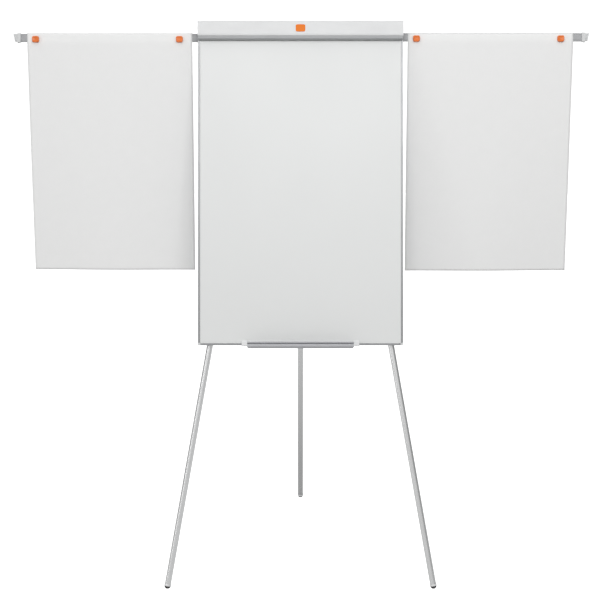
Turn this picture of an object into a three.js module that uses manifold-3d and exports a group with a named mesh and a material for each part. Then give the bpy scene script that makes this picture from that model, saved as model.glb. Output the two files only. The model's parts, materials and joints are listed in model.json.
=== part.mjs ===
// Tripod flipchart easel: a leaning magnetic whiteboard on three telescopic legs, with a hinged pad
// clamp along its top, a pen tray at its foot and two side arms that slide out of a rail behind it.
// Millimetres, +Z up, +X to the viewer's right, and the board faces -Y.
//
// Most pieces belong to the leaning board. Their places are given as x (across), d (depth behind the
// writing surface, so a negative d is in front of it) and v (drop below the top of the header).

import * as THREE from 'three';
import { mergeVertices } from 'three/addons/utils/BufferGeometryUtils.js';
import Module from 'manifold-3d';

const wasm = await Module();
wasm.setup();

// ---------------------------------------------------------------- driving dimensions

const GAP = 0.3;
const RAD = Math.PI / 180;
const LEAN = 10 * RAD;

const BOARD_HALF = 350;
const BOARD_TOP = 12.5;
const BOARD_FOOT = 1102.9;
const RAIL_FACE = 7.5;
const RAIL_WALL = 1.2;
const SKIN = 0.8;
const CORE = 12;
const CORNER = 9;

const HEADER_HALF = 349.5;
const COVER_DROP = 50.7;
const COVER_FRONT = -22;
const COVER_WALL = 2.4;
const BARREL_RADIUS = 5.5;
const BARREL_D = 8;
const ROD_RADIUS = 2;
const LUG_WIDTH = 14;
const LUG_PLACES = [-322, 0, 322];
const SPRING_PLACES = [-160, 160];
const SPRING_SLOT = 26;
const BAR_HALF = 348;
const BAR_FACE_FOOT = 61.4;
const BAR_FOOT = 64.2;
const BADGE_V = 25.4;
const BADGE_WIDTH = 32.5;
const BADGE_HEIGHT = 24.4;
const BADGE_THICK = 1;
const BADGE_CORNER = 4;

const HOOK_V = 33;
const HOOK_X = 140;
const HOOK_RAIL_HALF = 290;
const HOOK_RAIL_REACH = 9;
const HOOK_SLOT_HALF = 3;
const HOOK_RAIL_LIP = 1.2;
const HOOK_RAIL_WEB = 1.4;

const ARM_V = 48.4;
const ARM_HEIGHT = 27.4;
const ARM_DEPTH = 8.6;
const ARM_WALL = 1.5;
const ARM_LIP = 4;
const ARM_TIPS = { left: 959.6, right: 962.3 };
const ARM_LENGTH = 685;
const ARM_RAIL_HALF = 345;
const ARM_SLOT_DEPTH = 9.6;
const ARM_RAIL_WALL = 1.5;
const CAP_LENGTH = 25.5;
const CAP_RISE = 15.3;
const CAP_FALL = 16.8;
const CAP_PROUD = 2.2;
const TONGUE_LENGTH = 25;

const SHEET_WIDTH = 566;
const SHEET_LENGTH = 820;
const SHEET_THICK = 1.2;
const SHEETS = {
  left: { inner: 371.5, head: 32.5, magnets: { inner: 43.5, outer: 29.5 } },
  right: { inner: 367, head: 36, magnets: { inner: 29.5, outer: 43.2 } },
};
const MAGNET_WIDTH = 23.6;
const MAGNET_HEIGHT = 21.4;
const MAGNET_THICK = 9;
const MAGNET_CORNER = 5;
const MAGNET_V = 54.5;

const TRAY_HALF = 180;
const TRAY_REACH = 48;
const TRAY_HEAD = 1090.9;
const TRAY_FOOT = 1111.5;
const TRAY_WALL = 1.8;
const TRAY_CORNER = 7;
const CLIP_WIDTH = 20;

const PIVOT_V = 130;
const PIVOT_X = 139;
const FRONT_LEG_D = 31.5;
const REAR_LEG_D = 64;
const SPLAY = 10 * RAD;
const REAR_SWING = 29.7 * RAD;
const FRONT_LEG_LENGTH = 1826;
const UPPER_RADIUS = 12;
const UPPER_BORE = 11;
const UPPER_HEAD = 14;
const UPPER_FOOT = 930;
const LOWER_RADIUS = 10.6;
const LOWER_BORE = 9.4;
const LOWER_HEAD = 840;
const FOOT_RADIUS = 11;
const FOOT_HEIGHT = 9;
const PLUG_STEM = 38;
const PIN_RADIUS = 4;
const SIDES = 24;

const BRACKET_HALF = 165;
const BRACKET_HEAD = 96;
const BRACKET_FOOT = 158;
const BRACKET_WALL = 2.5;
const EAR_X = 15;
const EAR_HALF = 1.5;
const EAR_RADIUS = 12;
const CRADLE_ALONG = 840;
const CRADLE_LENGTH = 34;

const COLLAR_HEAD = UPPER_FOOT - 26;
const COLLAR_FOOT = UPPER_FOOT + 20;
const COLLAR_RADIUS = 15;
const LEVER_Y = 19.5;
const LEVER_Z = -(UPPER_FOOT - 6);
const LEVER_HALF = 8;
const CAM_RADIUS = 3.8;
const TRUNNION_RADIUS = 2.2;

// ---------------------------------------------------------------- materials

const finish = (color, roughness, metalness = 0) =>
  new THREE.MeshStandardMaterial({ color, roughness, metalness });

const whiteLacquer = () => finish(0xeceded, 0.18);
const greyAluminium = () => finish(0xb4b6b8, 0.38, 0.85);
const brightTube = () => finish(0xd4d6d8, 0.24, 0.95);
const zincSteel = () => finish(0xa9acae, 0.4, 0.9);
const whitePlastic = () => finish(0xe6e7e8, 0.42);
const palePlastic = () => finish(0xd2d4d6, 0.45);
const greyPlastic = () => finish(0x8f9294, 0.5);
const darkRubber = () => finish(0x2a2b2c, 0.8);
const orangePlastic = () => finish(0xe4702a, 0.4);
const paper = () => finish(0xf2f2f1, 0.85);
const coreBoard = () => finish(0xb9a88a, 0.9);

// ---------------------------------------------------------------- geometry helpers

// A closed block between two corners, given in x, d and v.
function block([x0, x1], [d0, d1], [v0, v1]) {
  const geometry = new THREE.BoxGeometry(Math.abs(x1 - x0), Math.abs(d1 - d0), Math.abs(v1 - v0));
  return geometry.translate((x0 + x1) / 2, (d0 + d1) / 2, -(v0 + v1) / 2);
}

// An outline given as [d, v] points.
function outline(points) {
  return new THREE.Shape(points.map(([d, v]) => new THREE.Vector2(d, -v)));
}

// Extrudes a shape drawn in the depth and height plane along X.
function alongX(shape, x0, x1, curveSegments = 8) {
  const geometry = new THREE.ExtrudeGeometry(shape, {
    depth: x1 - x0,
    bevelEnabled: false,
    curveSegments,
  });
  const turn = new THREE.Matrix4().makeBasis(
    new THREE.Vector3(0, 1, 0),
    new THREE.Vector3(0, 0, 1),
    new THREE.Vector3(1, 0, 0),
  );
  return geometry.applyMatrix4(turn).translate(x0, 0, 0);
}

// Extrudes a shape drawn in the x and height plane backwards, from depth d0 to d1.
function alongDepth(shape, d0, d1, curveSegments = 6) {
  const geometry = new THREE.ExtrudeGeometry(shape, {
    depth: d1 - d0,
    bevelEnabled: false,
    curveSegments,
  });
  return geometry.rotateX(Math.PI / 2).translate(0, d1, 0);
}

// Turns a profile of [radius, height] points about the Z axis.
function turned(profile, sides = SIDES) {
  const points = profile.map(([radius, height]) => new THREE.Vector2(radius, height));
  return new THREE.LatheGeometry(points, sides).rotateX(Math.PI / 2);
}

// A round tube about Z between two heights.
function tube(outer, inner, z0, z1, sides = SIDES) {
  return turned([[inner, z0], [outer, z0], [outer, z1], [inner, z1], [inner, z0]], sides);
}

// A round bar about Z between two heights.
function bar(radius, z0, z1, sides = SIDES) {
  return turned([[0, z0], [radius, z0], [radius, z1], [0, z1]], sides);
}

// A plate with rounded corners in the x and height plane.
function roundedPlate(width, height, radius, d0, d1) {
  const shape = new THREE.Shape();
  const w = width / 2;
  const h = height / 2;
  shape.moveTo(-w + radius, -h);
  shape.lineTo(w - radius, -h);
  shape.quadraticCurveTo(w, -h, w, -h + radius);
  shape.lineTo(w, h - radius);
  shape.quadraticCurveTo(w, h, w - radius, h);
  shape.lineTo(-w + radius, h);
  shape.quadraticCurveTo(-w, h, -w, h - radius);
  shape.lineTo(-w, -h + radius);
  shape.quadraticCurveTo(-w, -h, -w + radius, -h);
  return alongDepth(shape, d0, d1, 4);
}

function toSolid(geometry) {
  const bare = geometry.clone();
  bare.deleteAttribute('normal');
  bare.deleteAttribute('uv');
  const merged = mergeVertices(bare, 1e-4);
  return new wasm.Manifold(
    new wasm.Mesh({
      numProp: 3,
      vertProperties: new Float32Array(merged.attributes.position.array),
      triVerts: new Uint32Array(merged.index.array),
    }),
  );
}

function toGeometry(solid) {
  const mesh = solid.getMesh();
  const geometry = new THREE.BufferGeometry();
  geometry.setAttribute('position', new THREE.BufferAttribute(mesh.vertProperties, 3));
  geometry.setIndex(new THREE.BufferAttribute(mesh.triVerts, 1));
  geometry.computeVertexNormals();
  return geometry;
}

function cut(geometry, ...tools) {
  return toGeometry(tools.reduce((rest, tool) => rest.subtract(toSolid(tool)), toSolid(geometry)));
}

function join(geometry, ...others) {
  return toGeometry(others.reduce((whole, other) => whole.add(toSolid(other)), toSolid(geometry)));
}

function piece(parent, name, geometry, material) {
  const mesh = new THREE.Mesh(geometry, material);
  mesh.name = name;
  parent.add(mesh);
  return mesh;
}

const easel = new THREE.Group();
const board = new THREE.Group();
board.rotation.x = -LEAN;
easel.add(board);

const SIDE_NAMES = [['left', -1], ['right', 1]];

// ---------------------------------------------------------------- board panel and frame

const PANEL_BACK = SKIN + GAP + CORE + GAP + SKIN;
const FRAME_FRONT = -GAP - RAIL_WALL;
const FRAME_BACK = PANEL_BACK + GAP + RAIL_WALL;

// One layer of the panel, with its two lower corners notched for the corner caps.
function panelLayer(d0, d1) {
  const half = BOARD_HALF - RAIL_WALL - GAP;
  const head = -(BOARD_TOP + RAIL_WALL + GAP);
  const foot = -(BOARD_FOOT - RAIL_WALL - GAP);
  const notchX = BOARD_HALF - CORNER - GAP;
  const notchZ = -(BOARD_FOOT - CORNER - GAP);
  const shape = new THREE.Shape();
  shape.moveTo(-half, head);
  shape.lineTo(-half, notchZ);
  shape.lineTo(-notchX, notchZ);
  shape.lineTo(-notchX, foot);
  shape.lineTo(notchX, foot);
  shape.lineTo(notchX, notchZ);
  shape.lineTo(half, notchZ);
  shape.lineTo(half, head);
  shape.closePath();
  return alongDepth(shape, d0, d1);
}

// The channel of an edge rail, open towards the middle of the board. It is drawn from the rail's
// outer edge at 0 inwards to its lip at RAIL_FACE.
function railSection(place) {
  const inner0 = FRAME_FRONT + RAIL_WALL;
  const inner1 = FRAME_BACK - RAIL_WALL;
  const points = [
    [0, FRAME_FRONT], [RAIL_FACE, FRAME_FRONT], [RAIL_FACE, inner0], [RAIL_WALL, inner0],
    [RAIL_WALL, inner1], [RAIL_FACE, inner1], [RAIL_FACE, FRAME_BACK], [0, FRAME_BACK],
  ];
  return points.map(([inward, depth]) => place(inward, depth));
}

function sideRail(side) {
  const points = railSection((inward, depth) => new THREE.Vector2(side * (BOARD_HALF - inward), depth));
  const length = BOARD_FOOT - CORNER - GAP - BOARD_TOP;
  const geometry = new THREE.ExtrudeGeometry(new THREE.Shape(points), {
    depth: length,
    bevelEnabled: false,
  });
  return geometry.translate(0, 0, -BOARD_TOP - length);
}

function crossRail(edge, inwards, half) {
  return alongX(outline(railSection((inward, depth) => [depth, edge + inwards * inward])), -half, half);
}

// A block at a lower corner of the frame, rounded at its outer corner.
function cornerCap(side) {
  const shape = new THREE.Shape();
  const radius = CORNER - 1;
  const outer = side * BOARD_HALF;
  const inner = side * (BOARD_HALF - CORNER);
  shape.moveTo(inner, -(BOARD_FOOT - CORNER));
  shape.lineTo(outer, -(BOARD_FOOT - CORNER));
  shape.lineTo(outer, -(BOARD_FOOT - radius));
  shape.quadraticCurveTo(outer, -BOARD_FOOT, outer - side * radius, -BOARD_FOOT);
  shape.lineTo(inner, -BOARD_FOOT);
  shape.closePath();
  return alongDepth(shape, FRAME_FRONT - GAP, FRAME_BACK + GAP);
}

piece(board, 'writing_surface', panelLayer(0, SKIN), whiteLacquer());
piece(board, 'board_core', panelLayer(SKIN + GAP, SKIN + GAP + CORE), coreBoard());
piece(board, 'board_back_sheet', panelLayer(PANEL_BACK - SKIN, PANEL_BACK), zincSteel());

for (const [name, side] of SIDE_NAMES) {
  piece(board, `frame_rail_${name}`, sideRail(side), greyAluminium());
  piece(board, `corner_cap_${name}`, cornerCap(side), palePlastic());
}
const TOP_RAIL_HALF = BOARD_HALF - RAIL_FACE - GAP;
const FOOT_RAIL_HALF = BOARD_HALF - CORNER - GAP;
piece(board, 'frame_rail_top', crossRail(BOARD_TOP, 1, TOP_RAIL_HALF), greyAluminium());
piece(board, 'frame_rail_bottom', crossRail(BOARD_FOOT, -1, FOOT_RAIL_HALF), greyAluminium());

// ---------------------------------------------------------------- pen tray and its clips

function penTray() {
  const front = FRAME_FRONT - GAP - TRAY_REACH;
  const back = FRAME_FRONT - GAP;
  const points = [
    [front + 1.5, TRAY_FOOT], [front, TRAY_FOOT - 2], [front, TRAY_HEAD + 1.5],
    [front + 0.6, TRAY_HEAD], [front + 3.4, TRAY_HEAD], [front + 3.4, TRAY_HEAD + 3.5],
    [front + TRAY_WALL, TRAY_HEAD + 4.5], [front + TRAY_WALL, TRAY_FOOT - TRAY_WALL - 3],
    [front + TRAY_WALL + 3, TRAY_FOOT - TRAY_WALL], [back - TRAY_WALL, TRAY_FOOT - TRAY_WALL],
    [back - TRAY_WALL, TRAY_HEAD + 1.2], [back, TRAY_HEAD + 1.2], [back, TRAY_FOOT],
  ];
  const corners = [-1, 1].map((side) => {
    const outer = side * (TRAY_HALF + 1);
    const inner = side * (TRAY_HALF - TRAY_CORNER);
    const shape = new THREE.Shape();
    shape.moveTo(inner, -TRAY_FOOT - 1);
    shape.lineTo(inner, -TRAY_FOOT);
    shape.quadraticCurveTo(side * TRAY_HALF, -TRAY_FOOT, side * TRAY_HALF, -TRAY_FOOT + TRAY_CORNER);
    shape.lineTo(outer, -TRAY_FOOT + TRAY_CORNER);
    shape.lineTo(outer, -TRAY_FOOT - 1);
    shape.closePath();
    return alongDepth(shape, front - 1, 0, 4);
  });
  return cut(alongX(outline(points), -TRAY_HALF, TRAY_HALF), ...corners);
}

// A U-shaped clip over the bottom rail, beside one end of the tray.
function trayClip(side) {
  const front = FRAME_FRONT - GAP - 4;
  const wall = 2.6;
  const head = BOARD_FOOT - 17;
  const foot = BOARD_FOOT + GAP + wall;
  const points = [
    [front, foot - 1.5], [front, head + 3], [FRAME_FRONT - GAP - 1.5, head], [FRAME_FRONT - GAP, head],
    [FRAME_FRONT - GAP, BOARD_FOOT + GAP], [FRAME_BACK + GAP, BOARD_FOOT + GAP],
    [FRAME_BACK + GAP, head + 2], [FRAME_BACK + GAP + wall, head + 2],
    [FRAME_BACK + GAP + wall, foot], [front + 1.5, foot],
  ];
  const near = TRAY_HALF + GAP;
  const span = [side * near, side * (near + CLIP_WIDTH)].sort((a, b) => a - b);
  return alongX(outline(points), ...span);
}

piece(board, 'pen_tray', penTray(), greyAluminium());
for (const [name, side] of SIDE_NAMES) {
  piece(board, `tray_clip_${name}`, trayClip(side), whitePlastic());
}

// ---------------------------------------------------------------- header: hinge base and pad clamp

const BASE_D = FRAME_BACK + GAP;
const BASE_WALL = 2.2;

// A hole or rod of the clamp hinge, along X.
function hingeBar(radius, x0, x1, sides = 16) {
  return bar(radius, x0, x1, sides).rotateY(Math.PI / 2).translate(0, BARREL_D, -BARREL_RADIUS);
}

function headerBase() {
  const plate = block([-HEADER_HALF + 2, HEADER_HALF - 2], [BASE_D, BASE_D + BASE_WALL], [1, 31]);
  const lugs = LUG_PLACES.flatMap((x) => {
    const span = [x - LUG_WIDTH / 2, x + LUG_WIDTH / 2];
    return [
      hingeBar(BARREL_RADIUS - 0.5, ...span),
      block(span, [BARREL_D, BASE_D + 1], [1, 2 * BARREL_RADIUS - 1]),
    ];
  });
  return cut(join(plate, ...lugs), hingeBar(ROD_RADIUS + 0.1, -HEADER_HALF, HEADER_HALF));
}

// The white cover: a shell with a rounded brow, a bevelled lower edge and a hinge barrel behind.
function clampCover() {
  const front = COVER_FRONT;
  const inner = front + COVER_WALL;
  const shape = new THREE.Shape();
  shape.moveTo(front + 1.4, -COVER_DROP);
  shape.lineTo(front, -(COVER_DROP - 6));
  shape.lineTo(front, -6);
  shape.quadraticCurveTo(front, 0, front + 6, 0);
  shape.lineTo(BARREL_D, 0);
  shape.absarc(BARREL_D, -BARREL_RADIUS, BARREL_RADIUS, Math.PI / 2, -Math.PI * 0.83, true);
  shape.lineTo(1, -COVER_WALL);
  shape.lineTo(inner + 4, -COVER_WALL);
  shape.quadraticCurveTo(inner, -COVER_WALL, inner, -6);
  shape.lineTo(inner, -COVER_DROP);
  shape.closePath();
  const shell = alongX(shape, -HEADER_HALF, HEADER_HALF, 6);
  const clear = (x, width) =>
    block([x - width / 2 - GAP, x + width / 2 + GAP], [BARREL_D - BARREL_RADIUS - 0.6, 20], [-1, 13]);
  return cut(
    shell,
    hingeBar(ROD_RADIUS + 0.4, -HEADER_HALF - 1, HEADER_HALF + 1),
    ...LUG_PLACES.map((x) => clear(x, LUG_WIDTH)),
    ...SPRING_PLACES.map((x) => clear(x, SPRING_SLOT)),
  );
}

// The grey jaw under the cover: an upstand fixed inside it, a face and a foot that slopes down and back
// to the board.
function clampBar() {
  const face = COVER_FRONT + 1.2;
  const upstand = COVER_FRONT + COVER_WALL + GAP;
  const points = [
    [face + 0.8, COVER_DROP + GAP], [face, COVER_DROP + 2], [face, BAR_FACE_FOOT - 1.5],
    [face + 1.5, BAR_FACE_FOOT], [-6.3, BAR_FOOT], [-6.3, BAR_FOOT - 2.4], [face + 4, BAR_FACE_FOOT - 2.6],
    [face + 2.6, BAR_FACE_FOOT - 4.5], [face + 2.6, COVER_DROP + 3.5], [upstand + 2, COVER_DROP + 1.5],
    [upstand + 2, 20], [upstand, 20], [upstand, COVER_DROP + GAP],
  ];
  return alongX(outline(points), -BAR_HALF, BAR_HALF);
}

function clampGrip() {
  const points = [
    [-6, BAR_FOOT - 5], [-1.6, BAR_FOOT - 6.5], [-0.5, BAR_FOOT - 5.5], [-0.5, BAR_FOOT - 1],
    [-1.6, BAR_FOOT], [-6, BAR_FOOT],
  ];
  const half = BOARD_HALF - RAIL_FACE - 1;
  return alongX(outline(points), -half, half);
}

// A torsion spring round the hinge rod, with one leg under the cover and one on the base.
function torsionSpring(x) {
  const turns = 3.5;
  const rings = 35;
  const coil = 3.7;
  const wire = 0.6;
  const length = SPRING_SLOT - 6;
  const points = [new THREE.Vector3(x - length / 2 - 1, BARREL_D - 15, -COVER_WALL - 2 * wire)];
  for (let i = 0; i <= rings; i += 1) {
    const angle = Math.PI * (1 - (2 * turns * i) / rings);
    points.push(new THREE.Vector3(
      x + length * (i / rings - 0.5),
      BARREL_D + coil * Math.cos(angle),
      -BARREL_RADIUS + coil * Math.sin(angle),
    ));
  }
  points.push(new THREE.Vector3(x + length / 2 + 1, BASE_D - 1, -BARREL_RADIUS - 4));
  const section = new THREE.Shape();
  section.absarc(0, 0, wire, 0, 2 * Math.PI, false);
  return new THREE.ExtrudeGeometry(section, {
    extrudePath: new THREE.CatmullRomCurve3(points),
    steps: 48,
    curveSegments: 3,
    bevelEnabled: false,
  });
}

piece(board, 'header_base', headerBase(), greyAluminium());
piece(board, 'clamp_hinge_rod', hingeBar(ROD_RADIUS, -HEADER_HALF + 5, HEADER_HALF - 5, 12), zincSteel());
for (const [name, side] of SIDE_NAMES) {
  piece(board, `clamp_spring_${name}`, torsionSpring(side * SPRING_PLACES[1]), zincSteel());
}
piece(board, 'clamp_cover', clampCover(), whitePlastic());
piece(board, 'clamp_bar', clampBar(), greyPlastic());
piece(board, 'clamp_grip', clampGrip(), darkRubber());
const badge = piece(
  board,
  'clamp_badge',
  roundedPlate(BADGE_WIDTH, BADGE_HEIGHT, BADGE_CORNER, COVER_FRONT - GAP - BADGE_THICK, COVER_FRONT - GAP),
  orangePlastic(),
);
badge.position.z = -BADGE_V;

// ---------------------------------------------------------------- pad hooks on their rail

const HOOK_BACK = -GAP;
const HOOK_FACE = HOOK_BACK - 4.6;

// A C-shaped rail whose slot faces the viewer.
function hookRail() {
  const lip = HOOK_FACE + HOOK_RAIL_LIP;
  const web = HOOK_BACK - HOOK_RAIL_WEB;
  const inside = HOOK_RAIL_REACH - 1.5;
  const points = [
    [HOOK_BACK, HOOK_V - HOOK_RAIL_REACH], [HOOK_BACK, HOOK_V + HOOK_RAIL_REACH],
    [HOOK_FACE, HOOK_V + HOOK_RAIL_REACH], [HOOK_FACE, HOOK_V + HOOK_SLOT_HALF],
    [lip, HOOK_V + HOOK_SLOT_HALF], [lip, HOOK_V + inside], [web, HOOK_V + inside],
    [web, HOOK_V - inside], [lip, HOOK_V - inside], [lip, HOOK_V - HOOK_SLOT_HALF],
    [HOOK_FACE, HOOK_V - HOOK_SLOT_HALF], [HOOK_FACE, HOOK_V - HOOK_RAIL_REACH],
  ];
  return alongX(outline(points), -HOOK_RAIL_HALF, HOOK_RAIL_HALF);
}

// A flanged peg: its shoe runs in the rail's slot and a knurled nut clamps it.
function padHook() {
  const profile = [
    [0, 0], [6.6, 0], [6.6, 1.4], [2.6, 1.4], [2.6, 3.4], [6, 3.4], [6, 7], [3.6, 7], [3.6, 9],
    [2.4, 10.6], [0, 10.6],
  ];
  return turned(profile, 16).rotateX(Math.PI / 2);
}

piece(board, 'pad_hook_rail', hookRail(), greyAluminium());
for (const [name, side] of SIDE_NAMES) {
  const hook = piece(board, `pad_hook_${name}`, padHook(), greyPlastic());
  hook.position.set(side * HOOK_X, HOOK_BACK - HOOK_RAIL_WEB - GAP, -HOOK_V);
}

// ---------------------------------------------------------------- side arms, sheets and magnets

const RAIL_FRONT = FRAME_BACK + GAP;
const RAIL_PITCH = ARM_SLOT_DEPTH + ARM_RAIL_WALL;
const armFront = (slot) => RAIL_FRONT + ARM_RAIL_WALL + 0.5 + slot * RAIL_PITCH;

// The rail's channel, open at its back. A divider and a back plate between its flanges make two slots:
// the front one takes the right arm and the rear one the left arm.
const RAIL_TALL = ARM_HEIGHT / 2 + 0.5;
const RAIL_DEPTH = 2 * RAIL_PITCH + ARM_RAIL_WALL;

function armRail() {
  const front = RAIL_FRONT;
  const back = RAIL_FRONT + RAIL_DEPTH;
  const head = ARM_V - RAIL_TALL - ARM_RAIL_WALL;
  const foot = ARM_V + RAIL_TALL + ARM_RAIL_WALL;
  const points = [
    [back, head], [front, head], [front, foot], [back, foot], [back, foot - ARM_RAIL_WALL],
    [front + ARM_RAIL_WALL, foot - ARM_RAIL_WALL], [front + ARM_RAIL_WALL, head + ARM_RAIL_WALL],
    [back, head + ARM_RAIL_WALL],
  ];
  return alongX(outline(points), -ARM_RAIL_HALF, ARM_RAIL_HALF);
}

// A flat strip between the channel's flanges, this many slots behind its web.
function railPlate(slots) {
  const front = RAIL_FRONT + slots * RAIL_PITCH;
  return block(
    [-ARM_RAIL_HALF, ARM_RAIL_HALF],
    [front, front + ARM_RAIL_WALL],
    [ARM_V - RAIL_TALL + GAP, ARM_V + RAIL_TALL - GAP],
  );
}

// A folded channel, open at its back. It runs inwards from the tip.
function sideArm(side, tip, front) {
  const back = front + ARM_DEPTH;
  const head = ARM_V - ARM_HEIGHT / 2;
  const foot = ARM_V + ARM_HEIGHT / 2;
  const points = [
    [back, head], [front, head], [front, foot], [back, foot], [back, foot - ARM_LIP],
    [back - ARM_WALL, foot - ARM_LIP], [back - ARM_WALL, foot - ARM_WALL],
    [front + ARM_WALL, foot - ARM_WALL],
    [front + ARM_WALL, head + ARM_WALL], [back - ARM_WALL, head + ARM_WALL],
    [back - ARM_WALL, head + ARM_LIP], [back, head + ARM_LIP],
  ];
  const span = [side * tip, side * (tip - ARM_LENGTH)].sort((a, b) => a - b);
  return alongX(outline(points), ...span);
}

// The plug that fills the arm's channel for a length at one end.
function armTongue(side, front, x0, x1) {
  const slack = ARM_WALL + GAP;
  const span = [side * x0, side * x1].sort((a, b) => a - b);
  return block(
    span,
    [front + slack, front + ARM_DEPTH - slack],
    [ARM_V - ARM_HEIGHT / 2 + slack, ARM_V + ARM_HEIGHT / 2 - slack],
  );
}

// The end cap: a block against the arm's end, and a lower flange whose outer edge slants outwards
// towards the top.
function armCap(side, tip, front) {
  const x0 = tip + GAP;
  const x1 = tip + CAP_LENGTH;
  const head = ARM_V - CAP_RISE;
  const foot = ARM_V + CAP_FALL;
  const points = [
    [x0, head], [x0 + 10, head], [x0 + 12, head + 2.4], [x1, head + 2.4], [x1 - 5.5, foot - 4.8],
    [x0 + 12, foot - 4.8], [x0 + 11, foot], [x0, foot - 3],
  ].map(([x, v]) => new THREE.Vector2(side * x, -v));
  const body = alongDepth(new THREE.Shape(points), front - CAP_PROUD, front + ARM_DEPTH + CAP_PROUD);
  return join(body, armTongue(side, front, tip - TONGUE_LENGTH, tip + 4));
}

// A paper sheet held at its top against the arm's face. Below the arm it turns and hangs plumb.
function hangingSheet(side, armFace, { inner, head }) {
  const back = armFace - GAP;
  const turn = ARM_V + ARM_HEIGHT / 2;
  const drop = SHEET_LENGTH - (turn - head);
  const plumb = ([d, v]) => [d + drop * Math.sin(LEAN), v + drop * Math.cos(LEAN)];
  const front = back - SHEET_THICK;
  const points = [
    [back, head], [front, head], [front, turn], plumb([front, turn]), plumb([back, turn]), [back, turn],
  ];
  const span = [side * inner, side * (inner + SHEET_WIDTH)].sort((a, b) => a - b);
  return alongX(outline(points), ...span);
}

function magnet() {
  return roundedPlate(MAGNET_WIDTH, MAGNET_HEIGHT, MAGNET_CORNER, -MAGNET_THICK, 0);
}

piece(board, 'arm_rail', armRail(), greyAluminium());
piece(board, 'arm_rail_divider', railPlate(1), greyAluminium());
piece(board, 'arm_rail_back', railPlate(2), greyAluminium());
for (const [name, side] of SIDE_NAMES) {
  const front = armFront(side < 0 ? 1 : 0);
  piece(board, `${name}_arm`, sideArm(side, ARM_TIPS[name], front), greyAluminium());
  piece(board, `${name}_arm_cap`, armCap(side, ARM_TIPS[name], front), palePlastic());
  const sheet = SHEETS[name];
  piece(board, `${name}_sheet`, hangingSheet(side, front, sheet), paper());
  const magnetBack = front - GAP - SHEET_THICK - GAP;
  const magnetPlaces = {
    inner: sheet.inner + sheet.magnets.inner,
    outer: sheet.inner + SHEET_WIDTH - sheet.magnets.outer,
  };
  for (const [place, x] of Object.entries(magnetPlaces)) {
    const button = piece(board, `${name}_${place}_magnet`, magnet(), orangePlastic());
    button.position.set(side * x, magnetBack, -MAGNET_V);
  }
}

// ---------------------------------------------------------------- leg bracket and cradles

const BRACKET_FRONT = PANEL_BACK + GAP;
const BRACKET_BACK = 2 * FRONT_LEG_D - BRACKET_FRONT;

// A round bar through the board's depth, for pins, holes and heads.
function depthBar(radius, x, v, d0, d1, sides = SIDES) {
  return bar(radius, -d1, -d0, sides).rotateX(Math.PI / 2).translate(x, 0, -v);
}

// A round bar across the rear clevis.
function crossBar(radius, x0, x1, sides = SIDES) {
  return bar(radius, x0, x1, sides).rotateY(Math.PI / 2).translate(0, REAR_LEG_D, -PIVOT_V);
}

function headBracket() {
  const wall = BRACKET_WALL;
  const points = [
    [BRACKET_FRONT, BRACKET_FOOT], [BRACKET_FRONT, BRACKET_HEAD], [BRACKET_BACK, BRACKET_HEAD],
    [BRACKET_BACK, BRACKET_FOOT], [BRACKET_BACK - wall, BRACKET_FOOT],
    [BRACKET_BACK - wall, BRACKET_HEAD + wall], [BRACKET_FRONT + wall, BRACKET_HEAD + wall],
    [BRACKET_FRONT + wall, BRACKET_FOOT],
  ];
  const channel = alongX(outline(points), -BRACKET_HALF, BRACKET_HALF);
  const ear = (side) => {
    const profile = new THREE.Shape();
    profile.moveTo(BRACKET_BACK - 1, -(PIVOT_V - 20));
    profile.lineTo(REAR_LEG_D, -(PIVOT_V - EAR_RADIUS));
    profile.absarc(REAR_LEG_D, -PIVOT_V, EAR_RADIUS, Math.PI / 2, -Math.PI / 2, true);
    profile.lineTo(BRACKET_BACK - 1, -(PIVOT_V + 20));
    profile.closePath();
    return alongX(profile, side * EAR_X - EAR_HALF, side * EAR_X + EAR_HALF, 8);
  };
  const pinHole = (side) =>
    depthBar(PIN_RADIUS + 0.3, side * PIVOT_X, PIVOT_V, BRACKET_FRONT - 1, BRACKET_BACK + 1);
  return cut(
    join(channel, ear(-1), ear(1)),
    pinHole(-1),
    pinHole(1),
    crossBar(PIN_RADIUS + 0.3, -EAR_X - 3, EAR_X + 3),
  );
}

function frontPivotPin(side) {
  const x = side * PIVOT_X;
  const shank = depthBar(PIN_RADIUS, x, PIVOT_V, BRACKET_FRONT + 0.2, BRACKET_BACK + 1.5);
  const head = depthBar(7, x, PIVOT_V, BRACKET_BACK + GAP, BRACKET_BACK + 3);
  return join(shank, head);
}

function rearPivotPin() {
  const edge = EAR_X + EAR_HALF + GAP;
  return join(
    crossBar(PIN_RADIUS, -edge - 1, edge + 1),
    crossBar(6.5, -edge - 3, -edge),
    crossBar(6.5, edge, edge + 3),
  );
}

piece(board, 'head_bracket', headBracket(), zincSteel());
for (const [name, side] of SIDE_NAMES) {
  piece(board, `${name}_leg_pin`, frontPivotPin(side), zincSteel());
}
piece(board, 'rear_leg_pin', rearPivotPin(), zincSteel());

// The C-shaped rest for a splayed leg, open towards the middle of the board.
function legCradle(side) {
  const seat = BRACKET_FRONT - FRONT_LEG_D;
  const near = -UPPER_RADIUS - 0.6;
  const far = UPPER_RADIUS + 0.6;
  const web = UPPER_RADIUS + 0.8;
  const points = [
    [-6, seat], [web + 16, seat], [web + 16, seat + 2.6], [web + 4, seat + 2.6], [web + 4, far + 3.4],
    [-2, far + 3.4], [-5, far + 1.6], [-2, far], [web, far], [web, near], [-6, near],
  ].map(([x, d]) => new THREE.Vector2(side * x, d));
  const geometry = new THREE.ExtrudeGeometry(new THREE.Shape(points), {
    depth: CRADLE_LENGTH,
    bevelEnabled: false,
  });
  return geometry.translate(0, 0, -CRADLE_LENGTH / 2);
}

// ---------------------------------------------------------------- telescopic legs

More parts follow.
